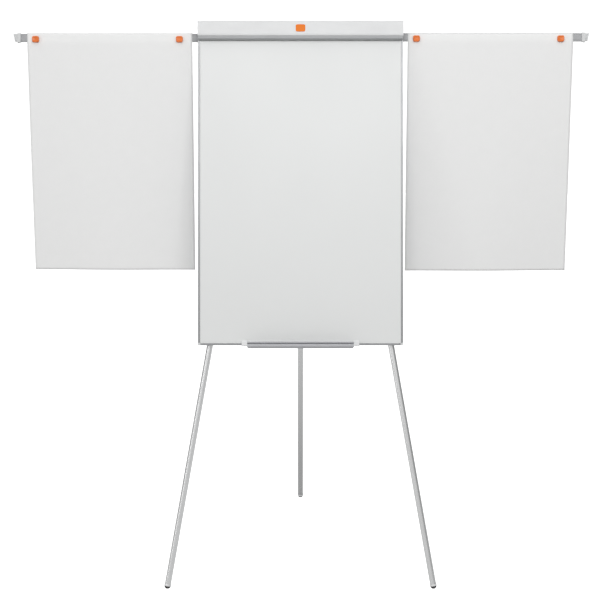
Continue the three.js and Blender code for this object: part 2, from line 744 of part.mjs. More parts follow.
// A leg's own frame has its origin at the pivot and runs down its -Z axis.
function legPlug(pinAcross) {
  const profile = [
    [0, -PLUG_STEM], [UPPER_BORE - 0.5, -PLUG_STEM], [UPPER_BORE - 0.5, -UPPER_HEAD + GAP],
    [UPPER_RADIUS + 0.5, -UPPER_HEAD + GAP], [UPPER_RADIUS + 0.5, 7], [8, 12.5], [0, 14],
  ];
  const hole = bar(PIN_RADIUS + 0.3, -20, 20);
  if (pinAcross) {
    hole.rotateY(Math.PI / 2);
  } else {
    hole.rotateX(Math.PI / 2);
  }
  return cut(turned(profile), hole);
}

// The lock collar: a stepped ring over the end of the upper tube, with two ears for the lever.
function lockCollar() {
  const step = UPPER_FOOT + GAP;
  const ring = turned([
    [UPPER_RADIUS + 0.3, -COLLAR_HEAD], [UPPER_RADIUS + 0.3, -step], [LOWER_RADIUS + 0.4, -step],
    [LOWER_RADIUS + 0.4, -COLLAR_FOOT], [COLLAR_RADIUS - 1.5, -COLLAR_FOOT],
    [COLLAR_RADIUS, -COLLAR_FOOT + 3], [COLLAR_RADIUS, -COLLAR_HEAD - 3],
    [COLLAR_RADIUS - 1.5, -COLLAR_HEAD], [UPPER_RADIUS + 0.3, -COLLAR_HEAD],
  ]);
  const ears = [-1, 1].map((side) => {
    const inner = side * (LEVER_HALF + GAP);
    const outer = side * (LEVER_HALF + 3);
    return block([inner, outer].sort((a, b) => a - b), [12.3, LEVER_Y + 4], [-LEVER_Z - 6, -LEVER_Z + 6]);
  });
  const hole = bar(TRUNNION_RADIUS + GAP, -15, 15, 12).rotateY(Math.PI / 2).translate(0, LEVER_Y, LEVER_Z);
  const bore = bar(UPPER_RADIUS + 0.3, -step, -COLLAR_HEAD + 1);
  return cut(join(ring, ...ears), hole, bore);
}

// The cam lever with its own trunnions, lying down along the leg when it is locked.
function lockLever() {
  const shape = new THREE.Shape();
  shape.moveTo(CAM_RADIUS, 0);
  shape.absarc(0, 0, CAM_RADIUS, 0, Math.PI, false);
  shape.lineTo(-CAM_RADIUS, -8);
  shape.lineTo(-3.2, -32);
  shape.lineTo(0.5, -42);
  shape.lineTo(4, -42);
  shape.lineTo(1.6, -30);
  shape.lineTo(CAM_RADIUS, -8);
  shape.closePath();
  const paddle = alongX(shape, -LEVER_HALF, LEVER_HALF, 6).translate(0, LEVER_Y, LEVER_Z);
  const trunnion = bar(TRUNNION_RADIUS, -LEVER_HALF - 3.4, LEVER_HALF + 3.4, 12);
  return join(paddle, trunnion.rotateY(Math.PI / 2).translate(0, LEVER_Y, LEVER_Z));
}

// The rubber foot: a stem in the tube and a dome, cut level with the floor.
function rubberFoot(length, down) {
  const profile = [[0, -length + 22], [LOWER_BORE - 0.3, -length + 22], [LOWER_BORE - 0.3, -length + 1.2]];
  profile.push([FOOT_RADIUS, -length + 1.2], [FOOT_RADIUS, -length]);
  const steps = 4;
  for (let i = 1; i < steps; i += 1) {
    const angle = (i / steps) * (Math.PI / 2);
    profile.push([FOOT_RADIUS * Math.cos(angle), -length - FOOT_RADIUS * Math.sin(angle)]);
  }
  profile.push([0, -length - FOOT_RADIUS]);
  const foot = turned(profile.reverse());
  const below = new THREE.BoxGeometry(60, 60, 40).translate(0, 0, -20);
  below.applyQuaternion(new THREE.Quaternion().setFromUnitVectors(new THREE.Vector3(0, 0, -1), down));
  below.translate(0, 0, -length).translate(...down.clone().multiplyScalar(FOOT_HEIGHT).toArray());
  return cut(foot, below);
}

function addLeg(name, leg, length, down, pinAcross) {
  board.add(leg);
  const upper = tube(UPPER_RADIUS, UPPER_BORE, -UPPER_FOOT, -UPPER_HEAD);
  const lower = tube(LOWER_RADIUS, LOWER_BORE, -(length - 1.5), -LOWER_HEAD);
  piece(leg, `${name}_leg_plug`, legPlug(pinAcross), greyPlastic());
  piece(leg, `${name}_upper_tube`, upper, brightTube());
  piece(leg, `${name}_lock_collar`, lockCollar(), greyPlastic());
  piece(leg, `${name}_lock_lever`, lockLever(), darkRubber());
  piece(leg, `${name}_lower_tube`, lower, brightTube());
  piece(leg, `${name}_rubber_foot`, rubberFoot(length, down), darkRubber());
}

// The board's own downward direction for the world's, turned into a leg's frame.
function downInLeg(leg) {
  const turn = new THREE.Quaternion().setFromEuler(board.rotation);
  turn.multiply(new THREE.Quaternion().setFromEuler(leg.rotation));
  return new THREE.Vector3(0, 0, -1).applyQuaternion(turn.invert());
}

for (const [name, side] of SIDE_NAMES) {
  const leg = new THREE.Group();
  leg.position.set(side * PIVOT_X, FRONT_LEG_D, -PIVOT_V);
  leg.rotation.y = -side * SPLAY;
  addLeg(name, leg, FRONT_LEG_LENGTH, downInLeg(leg), false);

  const cradle = piece(board, `${name}_leg_cradle`, legCradle(side), greyPlastic());
  cradle.rotation.y = leg.rotation.y;
  cradle.position
    .set(0, 0, -CRADLE_ALONG)
    .applyEuler(leg.rotation)
    .add(leg.position);
}

// The rear leg is as long as it must be for its foot to meet the floor of the front ones.
const FRONT_DROP = PIVOT_V * Math.cos(LEAN) + FRONT_LEG_D * Math.sin(LEAN)
  + FRONT_LEG_LENGTH * Math.cos(SPLAY) * Math.cos(LEAN);
const REAR_PIVOT_DROP = PIVOT_V * Math.cos(LEAN) + REAR_LEG_D * Math.sin(LEAN);
const REAR_LEG_LENGTH = (FRONT_DROP - REAR_PIVOT_DROP) / Math.cos(REAR_SWING - LEAN);

const rearLeg = new THREE.Group();
rearLeg.position.set(0, REAR_LEG_D, -PIVOT_V);
rearLeg.rotation.x = REAR_SWING;
addLeg('rear', rearLeg, REAR_LEG_LENGTH, downInLeg(rearLeg), true);

// ---------------------------------------------------------------- stand it on the floor

easel.updateMatrixWorld(true);
const extent = new THREE.Box3().setFromObject(easel, true);
easel.position.set(
  -(extent.min.x + extent.max.x) / 2,
  -(extent.min.y + extent.max.y) / 2,
  -extent.min.z,
);

export default easel;
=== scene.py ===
import json
import math

import bmesh
import bpy
from mathutils import Matrix, Vector, noise


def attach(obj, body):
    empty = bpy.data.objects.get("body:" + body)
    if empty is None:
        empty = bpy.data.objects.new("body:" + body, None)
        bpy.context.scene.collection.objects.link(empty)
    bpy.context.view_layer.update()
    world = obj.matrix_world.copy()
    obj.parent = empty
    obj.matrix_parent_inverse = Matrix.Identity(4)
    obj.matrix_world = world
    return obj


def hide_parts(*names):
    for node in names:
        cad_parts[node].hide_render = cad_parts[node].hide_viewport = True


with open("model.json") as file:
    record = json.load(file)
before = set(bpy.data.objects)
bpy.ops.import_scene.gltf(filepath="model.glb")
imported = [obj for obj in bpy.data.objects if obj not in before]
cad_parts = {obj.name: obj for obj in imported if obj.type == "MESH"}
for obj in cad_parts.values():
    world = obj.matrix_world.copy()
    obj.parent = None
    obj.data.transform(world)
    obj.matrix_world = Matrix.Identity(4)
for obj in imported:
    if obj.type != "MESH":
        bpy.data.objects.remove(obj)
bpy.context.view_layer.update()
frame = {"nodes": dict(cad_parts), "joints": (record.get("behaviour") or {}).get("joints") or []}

# Lengths here are in millimetres and are turned into metres as each mesh is made.
MM = 0.001
GAP = 0.3
JOINTS = {joint["name"]: joint for joint in frame["joints"]}
SIDES = (("left", -1), ("right", 1))
LEGS = ("left", "right", "rear")
SHEET_SIZE = (0.566, 0.82)

# ---------- the board's and the legs' own axes

RIGHT = Vector((1, 0, 0))


def axes(origin, right, back, up):
    """A matrix whose columns are three directions and a place in metres."""
    matrix = Matrix((right, back, up)).transposed().to_4x4()
    matrix.translation = origin
    return matrix


# Across, back through the board, and up along it, from the middle of the header's top front line.
BACK = -Vector(JOINTS["magnet_pull_left_inner"]["axis"]).normalized()
UP = RIGHT.cross(BACK)
HINGE_BACK = 8.0
HINGE_DROP = 5.5
HINGE_AT = Vector(JOINTS["clamp_hinge"]["pos_m"])
BOARD = axes(HINGE_AT - BACK * HINGE_BACK * MM + UP * HINGE_DROP * MM, RIGHT, BACK, UP)


def leg_axes(name):
    """A leg's own axes, from its pivot upwards along its tube."""
    up = Vector(JOINTS[f"{name}_leg_telescope"]["axis"]).normalized()
    right = Vector(JOINTS[f"{name}_leg_lock"]["axis"]).normalized()
    return axes(Vector(JOINTS[f"{name}_leg_fold"]["pos_m"]), right, up.cross(right), up)


LEG_AXES = {name: leg_axes(name) for name in LEGS}


def reach(node, space=BOARD):
    """The lowest and highest corner of a CAD node along these axes, in millimetres."""
    inverse = space.inverted()
    points = [inverse @ v.co / MM for v in frame["nodes"][node].data.vertices]
    low = Vector([min(p[i] for p in points) for i in range(3)])
    high = Vector([max(p[i] for p in points) for i in range(3)])
    return low, high


# ---------- node materials


def color_ramp(tree, source, stops):
    """A ramp from a value to colours: a stop is a position and a grey or a colour."""
    made = tree.nodes.new("ShaderNodeValToRGB")
    line = made.color_ramp.elements
    while len(line) < len(stops):
        line.new(0.5)
    for element, (position, value) in zip(line, stops):
        element.position = position
        element.color = (*value, 1) if hasattr(value, "__len__") else (value, value, value, 1)
    tree.links.new(source, made.inputs["Fac"])
    return made.outputs["Color"]


def map_range(tree, source, start, end, low=0.0, high=1.0):
    """Maps the span from start to end onto the span from low to high."""
    made = tree.nodes.new("ShaderNodeMapRange")
    for socket, value in (("From Min", start), ("From Max", end), ("To Min", low), ("To Max", high)):
        made.inputs[socket].default_value = value
    tree.links.new(source, made.inputs["Value"])
    return made.outputs["Result"]


class Paint:
    """A Principled material and the texture nodes that feed it."""

    def __init__(self, name, color, roughness, metallic=0.0, **sockets):
        self.material = bpy.data.materials.new(name)
        self.material.use_nodes = True
        self.tree = self.material.node_tree
        self.shader = self.tree.nodes["Principled BSDF"]
        self.color = color
        self.roughness = roughness
        self.shader.inputs["Base Color"].default_value = (*color, 1)
        self.shader.inputs["Roughness"].default_value = roughness
        self.shader.inputs["Metallic"].default_value = metallic
        for socket, value in sockets.items():
            self.shader.inputs[socket.replace("_", " ")].default_value = value
        self.place = self.tree.nodes.new("ShaderNodeTexCoord").outputs["Object"]
        self.height = None

    def link(self, source, target):
        self.tree.links.new(source, target)

    def node(self, kind, **settings):
        made = self.tree.nodes.new("ShaderNode" + kind)
        for key, value in settings.items():
            setattr(made, key, value)
        return made

    def stretched(self, stretch):
        """Object coordinates scaled along each axis."""
        mapping = self.node("Mapping")
        mapping.inputs["Scale"].default_value = stretch
        self.link(self.place, mapping.inputs["Vector"])
        return mapping.outputs["Vector"]

    def noise(self, scale, detail=3.0, stretch=(1, 1, 1), rough=0.55):
        made = self.node("TexNoise")
        made.inputs["Scale"].default_value = scale
        made.inputs["Detail"].default_value = detail
        made.inputs["Roughness"].default_value = rough
        self.link(self.stretched(stretch), made.inputs["Vector"])
        return made.outputs["Fac"]

    def cells(self, scale, stretch=(1, 1, 1), feature="F1", output="Color"):
        made = self.node("TexVoronoi", feature=feature)
        made.inputs["Scale"].default_value = scale
        self.link(self.stretched(stretch), made.inputs["Vector"])
        return made.outputs[output]

    def tint(self, source, low, high, spread=(0.3, 0.7)):
        """Varies the base colour between two shares of itself."""
        dark = [c * low for c in self.color]
        light = [min(c * high, 1) for c in self.color]
        shade = color_ramp(self.tree, source, [(spread[0], dark), (spread[1], light)])
        current = self.shader.inputs["Base Color"]
        if current.is_linked:
            mix = self.node("Mix", data_type="RGBA", blend_type="MIX")
            mix.inputs["Factor"].default_value = 0.5
            self.link(current.links[0].from_socket, mix.inputs["A"])
            self.link(shade, mix.inputs["B"])
            shade = mix.outputs["Result"]
        self.link(shade, current)
        return self

    def polish(self, source, low, high, spread=(0.3, 0.7)):
        """Varies the roughness between two values."""
        self.link(map_range(self.tree, source, *spread, low, high), self.shader.inputs["Roughness"])
        return self

    def bump(self, source, depth, strength=1.0):
        """Adds a layer of relief, its depth in millimetres."""
        made = self.node("Bump")
        made.inputs["Distance"].default_value = depth * MM
        made.inputs["Strength"].default_value = strength
        self.link(source, made.inputs["Height"])
        if self.height:
            self.link(self.height, made.inputs["Normal"])
        self.height = made.outputs["Normal"]
        self.link(self.height, self.shader.inputs["Normal"])
        return self


def lacquer():
    """Dry-wipe lacquer on steel: satin, with a faint orange peel and wiped haze."""
    paint = Paint("white_lacquer", (0.755, 0.765, 0.76), 0.4)
    paint.tint(paint.noise(3.1, 4), 0.992, 1.006)
    paint.polish(paint.noise(7, 5, (1, 1, 0.35)), 0.36, 0.44)
    return paint.bump(paint.noise(310, 2), 0.012).material


def extrusion(name, along, color=(0.36, 0.365, 0.372), roughness=0.44):
    """Satin anodised aluminium with die lines along its length."""
    stretch = [1 if axis == along else 60 for axis in range(3)]
    paint = Paint(name, color, roughness, 0.92, Anisotropic=0.35)
    lines = paint.noise(14, 4, stretch, 0.7)
    paint.tint(paint.noise(9, 4), 0.93, 1.06)
    paint.tint(lines, 0.94, 1.05)
    paint.polish(lines, roughness - 0.07, roughness + 0.1)
    return paint.bump(lines, 0.02).bump(paint.noise(900, 2), 0.004).material


def drawn_tube(name, color, floor_shade):
    """Bright drawn aluminium: long fine lines, handling marks, and painted shade that darkens the colour
    towards the floor.
    """
    paint = Paint(name, color, 0.25, 0.92)
    split = paint.node("SeparateXYZ")
    paint.link(paint.place, split.inputs["Vector"])
    climb = map_range(paint.tree, split.outputs["Z"], DEEPEST_SHADE_AT, SHADE_ENDS_AT)
    lines = paint.noise(40, 5, (22, 22, 0.35), 0.65)
    marks = paint.noise(70, 4, (1, 1, 0.1), 0.6)
    paint.tint(lines, 0.94, 1.03)
    paint.tint(paint.noise(6, 3), 0.97, 1.02)
    # Painted shade: the base colour darkens towards the foot, down to the given share of itself.
    paint.tint(climb, floor_shade, 1, (0, 1))
    paint.polish(marks, 0.23, 0.29, (0.35, 0.72))
    return paint.bump(lines, 0.006).material


def powder_coat():
    """Grey powder coat: a fine pebbled skin with tiny lighter specks."""
    paint = Paint("arm_steel", (0.37, 0.375, 0.385), 0.5, 0.15)
    pebble = paint.cells(520, feature="SMOOTH_F1", output="Distance")
    paint.tint(paint.noise(650, 2), 0.9, 1.12, (0.35, 0.75))
    paint.tint(paint.noise(5, 3), 0.95, 1.05)
    paint.polish(pebble, 0.42, 0.58, (0.0, 0.8))
    return paint.bump(pebble, 0.035, 0.7).material


def moulded(name, color, roughness, grain, relief=0.02, **sockets):
    """Injection-moulded plastic with an etched grain, faint flow marks and uneven gloss."""
    paint = Paint(name, color, roughness, **sockets)
    etched = paint.noise(grain, 3, rough=0.6)
    paint.tint(paint.noise(11, 5, (1, 1, 2.5)), 0.95, 1.04)
    paint.tint(etched, 0.96, 1.04)
    paint.polish(paint.noise(23, 4), roughness - 0.07, roughness + 0.09)
    return paint.bump(etched, relief).bump(paint.noise(37, 2), 0.02).material


def rubber():
    """Black rubber with a dry, dusty bloom."""
    paint = Paint("black_rubber", (0.022, 0.022, 0.023), 0.78, Sheen_Weight=0.15)
    bloom = paint.noise(140, 6, rough=0.7)
    paint.tint(bloom, 0.7, 2.3, (0.35, 0.8))
    paint.polish(bloom, 0.7, 0.92)
    return paint.bump(bloom, 0.06).bump(paint.noise(1500, 2), 0.02).material


def paper():
    """Uncoated flipchart paper: felt-side cloudiness, fibres and a soft tooth."""
    paint = Paint("paper", (0.87, 0.872, 0.868), 0.86, Sheen_Weight=0.05)
    fibres = paint.noise(240, 7, (1, 1, 0.35), 0.7)
    cloud = paint.noise(26, 6, rough=0.65)
    paint.tint(cloud, 0.985, 1.012)
    paint.tint(fibres, 0.985, 1.01)
    paint.polish(fibres, 0.8, 0.93)
    return paint.bump(fibres, 0.03).bump(paint.noise(1300, 2), 0.012).material


def galvanised():
    """Hot-dip galvanised sheet with its spangle of zinc crystals."""
    paint = Paint("galvanised_back", (0.5, 0.51, 0.52), 0.42, 0.85)
    spangle = paint.cells(70)
    separate = paint.node("SeparateColor")
    paint.link(spangle, separate.inputs["Color"])
    paint.tint(separate.outputs["Red"], 0.86, 1.1, (0.0, 1.0))
    paint.tint(paint.noise(5, 4), 0.94, 1.05)
    paint.polish(separate.outputs["Green"], 0.32, 0.55, (0.0, 1.0))
    return paint.bump(separate.outputs["Blue"], 0.01).bump(paint.noise(60, 4), 0.02).material


def zinc():
    """Bright zinc plate with a slightly warm, cloudy passivation."""
    paint = Paint("zinc_steel", (0.6, 0.605, 0.6), 0.34, 0.95)
    cloud = paint.noise(48, 5, rough=0.65)
    paint.tint(cloud, 0.88, 1.07)
    paint.polish(cloud, 0.26, 0.46)
    return paint.bump(paint.noise(420, 4), 0.012).material


def fibre():
    """The pressed fibre core of the board."""
    paint = Paint("core_board", (0.44, 0.34, 0.23), 0.9)
    strands = paint.noise(180, 8, (1, 4, 1), 0.75)
    paint.tint(strands, 0.75, 1.2)
    paint.polish(strands, 0.82, 0.96)
    return paint.bump(strands, 0.15).material


ACROSS, UPWARDS = 0, 2
# Where the painted shade on a leg is deepest and where it has faded out, in metres from its pivot.
DEEPEST_SHADE_AT, SHADE_ENDS_AT = -1.72, -0.95
LACQUER = lacquer()
PROFILE = extrusion("anodised_grey", ACROSS)
UPRIGHT = extrusion("anodised_grey_upright", UPWARDS)
TRAY = extrusion("tray_aluminium", ACROSS, (0.47, 0.474, 0.49), 0.46)
# Both leg metals carry painted shade towards the floor; the rear leg's copy carries much deeper painted
# shade.
TUBE = drawn_tube("leg_aluminium", (0.87, 0.875, 0.878), 0.8)
SHADED_REAR_TUBE = drawn_tube("rear_leg_aluminium_shaded", (0.86, 0.865, 0.87), 0.22)
FERRULE = moulded("ferrule", (0.78, 0.785, 0.79), 0.4, 700, 0.01, metallic=0.3)
ARM = powder_coat()
# The cover's white is a darker copy of the clips' white plastic: painted shade that tones down its more
# brightly lit face.
COVER = moulded("white_cover_shaded", (0.72, 0.726, 0.73), 0.42, 1100, 0.012)
WHITE = moulded("white_plastic", (0.82, 0.826, 0.83), 0.42, 1100, 0.012)
PALE = moulded("pale_plastic", (0.64, 0.648, 0.65), 0.45, 900)
GREY = moulded("grey_plastic", (0.3, 0.305, 0.31), 0.48, 850)
JAW = moulded("jaw_plastic", (0.375, 0.385, 0.392), 0.45, 850)
BLACK = moulded("black_plastic", (0.03, 0.03, 0.032), 0.45, 800, 0.03)
ORANGE = moulded("orange_plastic", (0.79, 0.185, 0.034), 0.36, 1000, 0.015, Specular_IOR_Level=0.42)
BADGE = moulded("badge_plastic", (0.84, 0.2, 0.012), 0.42, 1000, 0.015, Specular_IOR_Level=0.2)
RUBBER = rubber()
PAPER = paper()
GALVANISED = galvanised()
ZINC = zinc()
FIBRE = fibre()

# ---------- mesh helpers


def corner_curve(points, radius=0.0, steps=5):
    """An outline with its corners rounded. A third number in a point is that corner's own radius."""
    rounded = []
    for i, point in enumerate(points):
        own = point[2] if len(point) > 2 else radius
        here = Vector(point[:2])
        before = Vector(points[i - 1][:2]) - here
        after = Vector(points[(i + 1) % len(points)][:2]) - here
        turn = before.angle(after)
        if own <= 0 or turn > math.pi - 0.02:
            rounded.append(here)
            continue
        run = min(own / math.tan(turn / 2), before.length * 0.49, after.length * 0.49)
        first = here + before.normalized() * run
        last = here + after.normalized() * run
        for step in range(steps + 1):
            t = step / steps
            rounded.append(first * (1 - t) ** 2 + here * 2 * t * (1 - t) + last * t**2)
    return rounded


def arc(center, radius, start, end, steps=12):
    """Points on a circle, between two angles in degrees."""
    turns = [math.radians(start + (end - start) * i / steps) for i in range(steps + 1)]
    return [(center[0] + radius * math.cos(a), center[1] + radius * math.sin(a)) for a in turns]


def prism(outline, start, end, along="x"):
    """A closed solid with this section. Its two numbers are depth and height along x, x and height
    along depth, and x and depth along the height."""
    bm = bmesh.new()
    order = {"x": lambda a, b, t: (t, a, b), "d": lambda a, b, t: (a, t, b), "z": lambda a, b, t: (a, b, t)}
    put = order[along]
    ends = [[bm.verts.new(put(p[0], p[1], t)) for p in outline] for t in (start, end)]
    count = len(outline)
    for i in range(count):
        j = (i + 1) % count
        bm.faces.new((ends[0][i], ends[0][j], ends[1][j], ends[1][i]))
    bm.faces.new(ends[0])
    bm.faces.new(ends[1])
    bmesh.ops.recalc_face_normals(bm, faces=bm.faces)
    return bm


def lathe(profile, segments=64, ripple=None):
    """Turns (radius, height) points about the z axis. ripple is (low, high, count, depth) for flutes."""
    bm = bmesh.new()
    rings = []
    for radius, height in profile:
        if radius < 1e-6:
            rings.append([bm.verts.new((0, 0, height))])
            continue
        ring = []
        for i in range(segments):
            angle = 2 * math.pi * i / segments
            fluted = radius
            if ripple and ripple[0] <= height <= ripple[1]:
                fluted += ripple[3] * math.cos(ripple[2] * angle)
            ring.append(bm.verts.new((fluted * math.cos(angle), fluted * math.sin(angle), height)))
        rings.append(ring)
    open_ends = len(rings[0]) > 1 and len(rings[-1]) > 1
    pairs = list(zip(rings, rings[1:] + rings[:1])) if open_ends else list(zip(rings, rings[1:]))
    for a, b in pairs:
        for i in range(segments):
            j = (i + 1) % segments
            if len(a) == 1:
                bm.faces.new((a[0], b[i], b[j]))
            elif len(b) == 1:
                bm.faces.new((a[i], a[j], b[0]))
            else:
                bm.faces.new((a[i], a[j], b[j], b[i]))
    bmesh.ops.recalc_face_normals(bm, faces=bm.faces)
    return bm


def merge(*parts):
    """Puts several separate solids into one mesh."""
    whole = bmesh.new()
    for part in parts:
        mesh = bpy.data.meshes.new("part")
        part.to_mesh(mesh)
        part.free()
        whole.from_mesh(mesh)
        bpy.data.meshes.remove(mesh)
    return whole


def moved(bm, *matrices):
    """Moves a mesh by these matrices, the last one first."""
    for matrix in reversed(matrices):
        bm.transform(matrix)
    return bm


def scratch(bm):
    """A scratch object, in millimetres, for a boolean."""
    mesh = bpy.data.meshes.new("scratch")
    bm.to_mesh(mesh)
    bm.free()
    made = bpy.data.objects.new("scratch", mesh)
    bpy.context.scene.collection.objects.link(made)
    return made


def carve(bm, cutters=(), joined=()):
    """Joins some solids to a solid, and cuts others out of it."""
    body = scratch(bm)
    tools = []
    for operation, solids in (("UNION", joined), ("DIFFERENCE", cutters)):
        for solid in solids:
            tool = scratch(solid)
            tools.append(tool)
            step = body.modifiers.new("cut", "BOOLEAN")
            step.operation = operation
            step.solver = "EXACT"
            step.object = tool
    bpy.context.view_layer.update()
    graph = bpy.context.evaluated_depsgraph_get()
    carved = bmesh.new()
    carved.from_object(body, graph)
    for used in (body, *tools):
        bpy.data.objects.remove(used)
    bmesh.ops.dissolve_limit(
        carved, angle_limit=0.01, verts=carved.verts, edges=carved.edges, delimit={"NORMAL"}
    )
    return carved


def brick(low, high):
    """A block between two corners."""
    outline = [(low[1], low[2]), (high[1], low[2]), (high[1], high[2]), (low[1], high[2])]
    return prism(outline, low[0], high[0])


def copy_of(node, space):
    """The CAD node's own shape along these axes, with its flat faces whole again."""
    bm = bmesh.new()
    bm.from_mesh(frame["nodes"][node].data)
    bmesh.ops.remove_doubles(bm, verts=bm.verts, dist=0.00002)
    bm.transform(Matrix.Scale(1 / MM, 4) @ space.inverted())
    bmesh.ops.dissolve_limit(bm, angle_limit=0.02, verts=bm.verts, edges=bm.edges)
    return bm


def piece(name, bm, paint, body, nodes=(), space=BOARD, bevel=0.0, segments=3, sharp=34):
    """Makes one visible piece from a mesh in millimetres and ties it to the frame."""
    bm.transform(Matrix.Scale(MM, 4))
    mesh = bpy.data.meshes.new(name)
    bm.to_mesh(mesh)
    bm.free()
    mesh.shade_smooth()
    mesh.set_sharp_from_angle(angle=math.radians(sharp))
    mesh.materials.append(paint)
    made = bpy.data.objects.new(name, mesh)
    bpy.context.scene.collection.objects.link(made)
    made.matrix_world = space
    if bevel:
        rounding = made.modifiers.new("edges", "BEVEL")
        rounding.width = bevel * MM
        rounding.segments = segments
        rounding.limit_method = "ANGLE"
        rounding.angle_limit = math.radians(sharp)
        rounding.harden_normals = True
    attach(made, body)
    if nodes:
        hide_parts(*nodes)
    return made


def softened(node, name, paint, bevel):
    """Replaces a fixed part of the board by its own shape with rounded edges."""
    piece(name, copy_of(node, BOARD), paint, "root", [node], bevel=bevel)


def keep(node, paint):
    """Leaves a CAD node as it is and gives it a finished material."""
    kept = frame["nodes"][node]
    for place in kept.material_slots:
        place.link = "OBJECT"
        place.material = paint


# ---------- board panel, frame and corner caps

RAIL_FACE = 7.5
RAIL_WALL = 1.2

keep("writing_surface", LACQUER)
keep("board_core", FIBRE)
keep("board_back_sheet", GALVANISED)


def rail_section(low, high):
    """A frame channel from its outer edge inwards: a slanted front lip with a fine shadow groove."""
    floor, roof = low + RAIL_WALL, high - RAIL_WALL
    return corner_curve([
        (0, low + 1.1, 0.6), (0.6, low, 0.5), (4.7, low), (4.85, low + 0.35), (5.35, low + 0.35),
        (5.5, low), (RAIL_FACE, low, 0.5), (RAIL_FACE, floor), (RAIL_WALL, floor),
        (RAIL_WALL, roof), (RAIL_FACE, roof), (RAIL_FACE, high, 0.5), (0, high, 1.4),
        (0, high - 5.4), (0.45, high - 5.8), (0.45, high - 6.6), (0, high - 7),
    ], steps=4)


for side_name, side in SIDES:
    node = f"frame_rail_{side_name}"
    low, high = reach(node)
    outer = low.x if side < 0 else high.x
    section = [(outer - side * p[0], p[1]) for p in rail_section(low.y, high.y)]
    piece(f"side_trim_{side_name}", prism(section, low.z, high.z, "z"), UPRIGHT, "root",
          [node], bevel=0.15, segments=1)

for node, name, edge_is_high in (
    ("frame_rail_top", "top_trim", True),
    ("frame_rail_bottom", "bottom_trim", False),
):
    low, high = reach(node)
    section = [
        (p[1], high.z - p[0] if edge_is_high else low.z + p[0]) for p in rail_section(low.y, high.y)
    ]
    piece(name, prism(section, low.x, high.x), PROFILE, "root", [node])


def corner_cap(side_name, side):
    """A moulded corner with a rounded outer corner and a raised rim line."""
    node = f"corner_cap_{side_name}"
    low, high = reach(node)
    inner, outer = (high.x, low.x) if side < 0 else (low.x, high.x)
    outline = corner_curve(
        [(inner, high.z), (outer, high.z), (outer, low.z, 7.5), (inner, low.z)], steps=10
    )
    body = prism(outline, low.y, high.y, "d")
    seat = prism(corner_curve(
        [(inner + side * 2.2, high.z - 2), (outer - side * 2.4, high.z - 2),
         (outer - side * 2.4, low.z + 2.4, 4.5), (inner + side * 2.2, low.z + 2.4)], steps=8),
        low.y - 1, low.y + 0.35, "d")
    piece(f"corner_{side_name}", carve(body, [seat]), PALE, "root", [node], bevel=0.3)


for side_name, side in SIDES:
    corner_cap(side_name, side)

# ---------- pen tray and clips

TRAY_LIP = 20.6
TRAY_WALL = 1.8
TRAY_CORNER = 7
STRIP_THICK = 1.6
STRIP_TALL = 4


def pen_tray():
    """An extruded trough: an overhanging lip with a shaded cove, a face and a tucked-in foot."""
    low, high = reach("pen_tray")
    front, back, foot = low.y, high.y, low.z
    lip = foot + TRAY_LIP
    stop = (front + back) / 2
    wall = TRAY_WALL
    section = corner_curve([
        (front + 2.2, foot, 2.5), (front, foot + 6.4, 2.0), (front, lip - 6.4, 0.4),
        (front + 5, lip - 6.1, 0.3), (front + 0.6, lip - 1.2, 0.4), (front + 1.2, lip, 0.4),
        (front + 3.4, lip, 0.6), (front + 6.8, lip - 4.6, 0.8), (front + 6.6, lip - 7.6, 1),
        (front + wall, lip - 9.2, 1), (front + wall, foot + 7, 2),
        (front + wall + 3, foot + wall, 1.5), (stop - 0.8, foot + wall), (stop - 0.5, foot + wall + 0.7),
        (stop + 0.5, foot + wall + 0.7), (stop + 0.8, foot + wall),
        (back - wall, foot + wall, 1.4), (back - wall, high.z, 0.4), (back, high.z, 0.4),
        (back, foot, 0.6),
    ], steps=5)
    body = prism(section, low.x, high.x)
    corners = []
    for side in (-1, 1):
        end = high.x * side
        inner = end - side * TRAY_CORNER
        turns = [math.radians(a) for a in range(0, 91, 9)]
        round_end = [
            (inner + side * TRAY_CORNER * math.sin(a), foot + TRAY_CORNER - TRAY_CORNER * math.cos(a))
            for a in turns
        ]
        outline = [
            (inner, foot - 1), *round_end, (end + side, foot + TRAY_CORNER), (end + side, foot - 1),
        ]
        corners.append(prism(outline, front - 1, back + 1, "d"))
    piece("tray", carve(body, corners), TRAY, "root", ["pen_tray"], bevel=0.25)


def tray_strip():
    """The pale strip along the tray's back wall, seen over the lip."""
    low, high = reach("pen_tray")
    back = high.y
    front = back - STRIP_THICK
    head, foot = high.z + STRIP_TALL, high.z + 0.2
    section = corner_curve([
        (back, foot), (front, foot, 0.3), (front, head - 0.8, 0.5), (front + 0.7, head, 0.4),
        (back, head),
    ], steps=3)
    piece("tray_strip", prism(section, low.x + 1, high.x - 1), WHITE, "root")


pen_tray()
tray_strip()
for side_name, side in SIDES:
    softened(f"tray_clip_{side_name}", f"clip_{side_name}", WHITE, 0.8)

# ---------- header: base, rod, springs, clamp

LUGS = (-322, 0, 322)
LUG_WIDTH = 14
SPRINGS = (-160, 160)
SPRING_SLOT = 26
COVER_WALL = 2.4
BARREL_RADIUS = 5.5
ROD_RADIUS = 2
SIDEWAYS = Matrix.Rotation(math.pi / 2, 4, "Y")


def at_hinge(bm):
    """Turns a lathed solid to lie along the clamp's hinge line."""
    return moved(bm, Matrix.Translation((0, HINGE_BACK, -HINGE_DROP)), SIDEWAYS)


def rod(radius, low, high, chamfer=0.0, segments=48):
    """A round bar along z with small chamfers."""
    return lathe([(0, low), (radius - chamfer, low), (radius, low + chamfer),
                  (radius, high - chamfer), (radius - chamfer, high), (0, high)], segments)


softened("header_base", "header_plate", PROFILE, 0.35)
rod_low, rod_high = reach("clamp_hinge_rod")
piece("hinge_rod", at_hinge(rod(ROD_RADIUS, rod_low.x, rod_high.x, 0.6)), ZINC, "root",
      ["clamp_hinge_rod"])


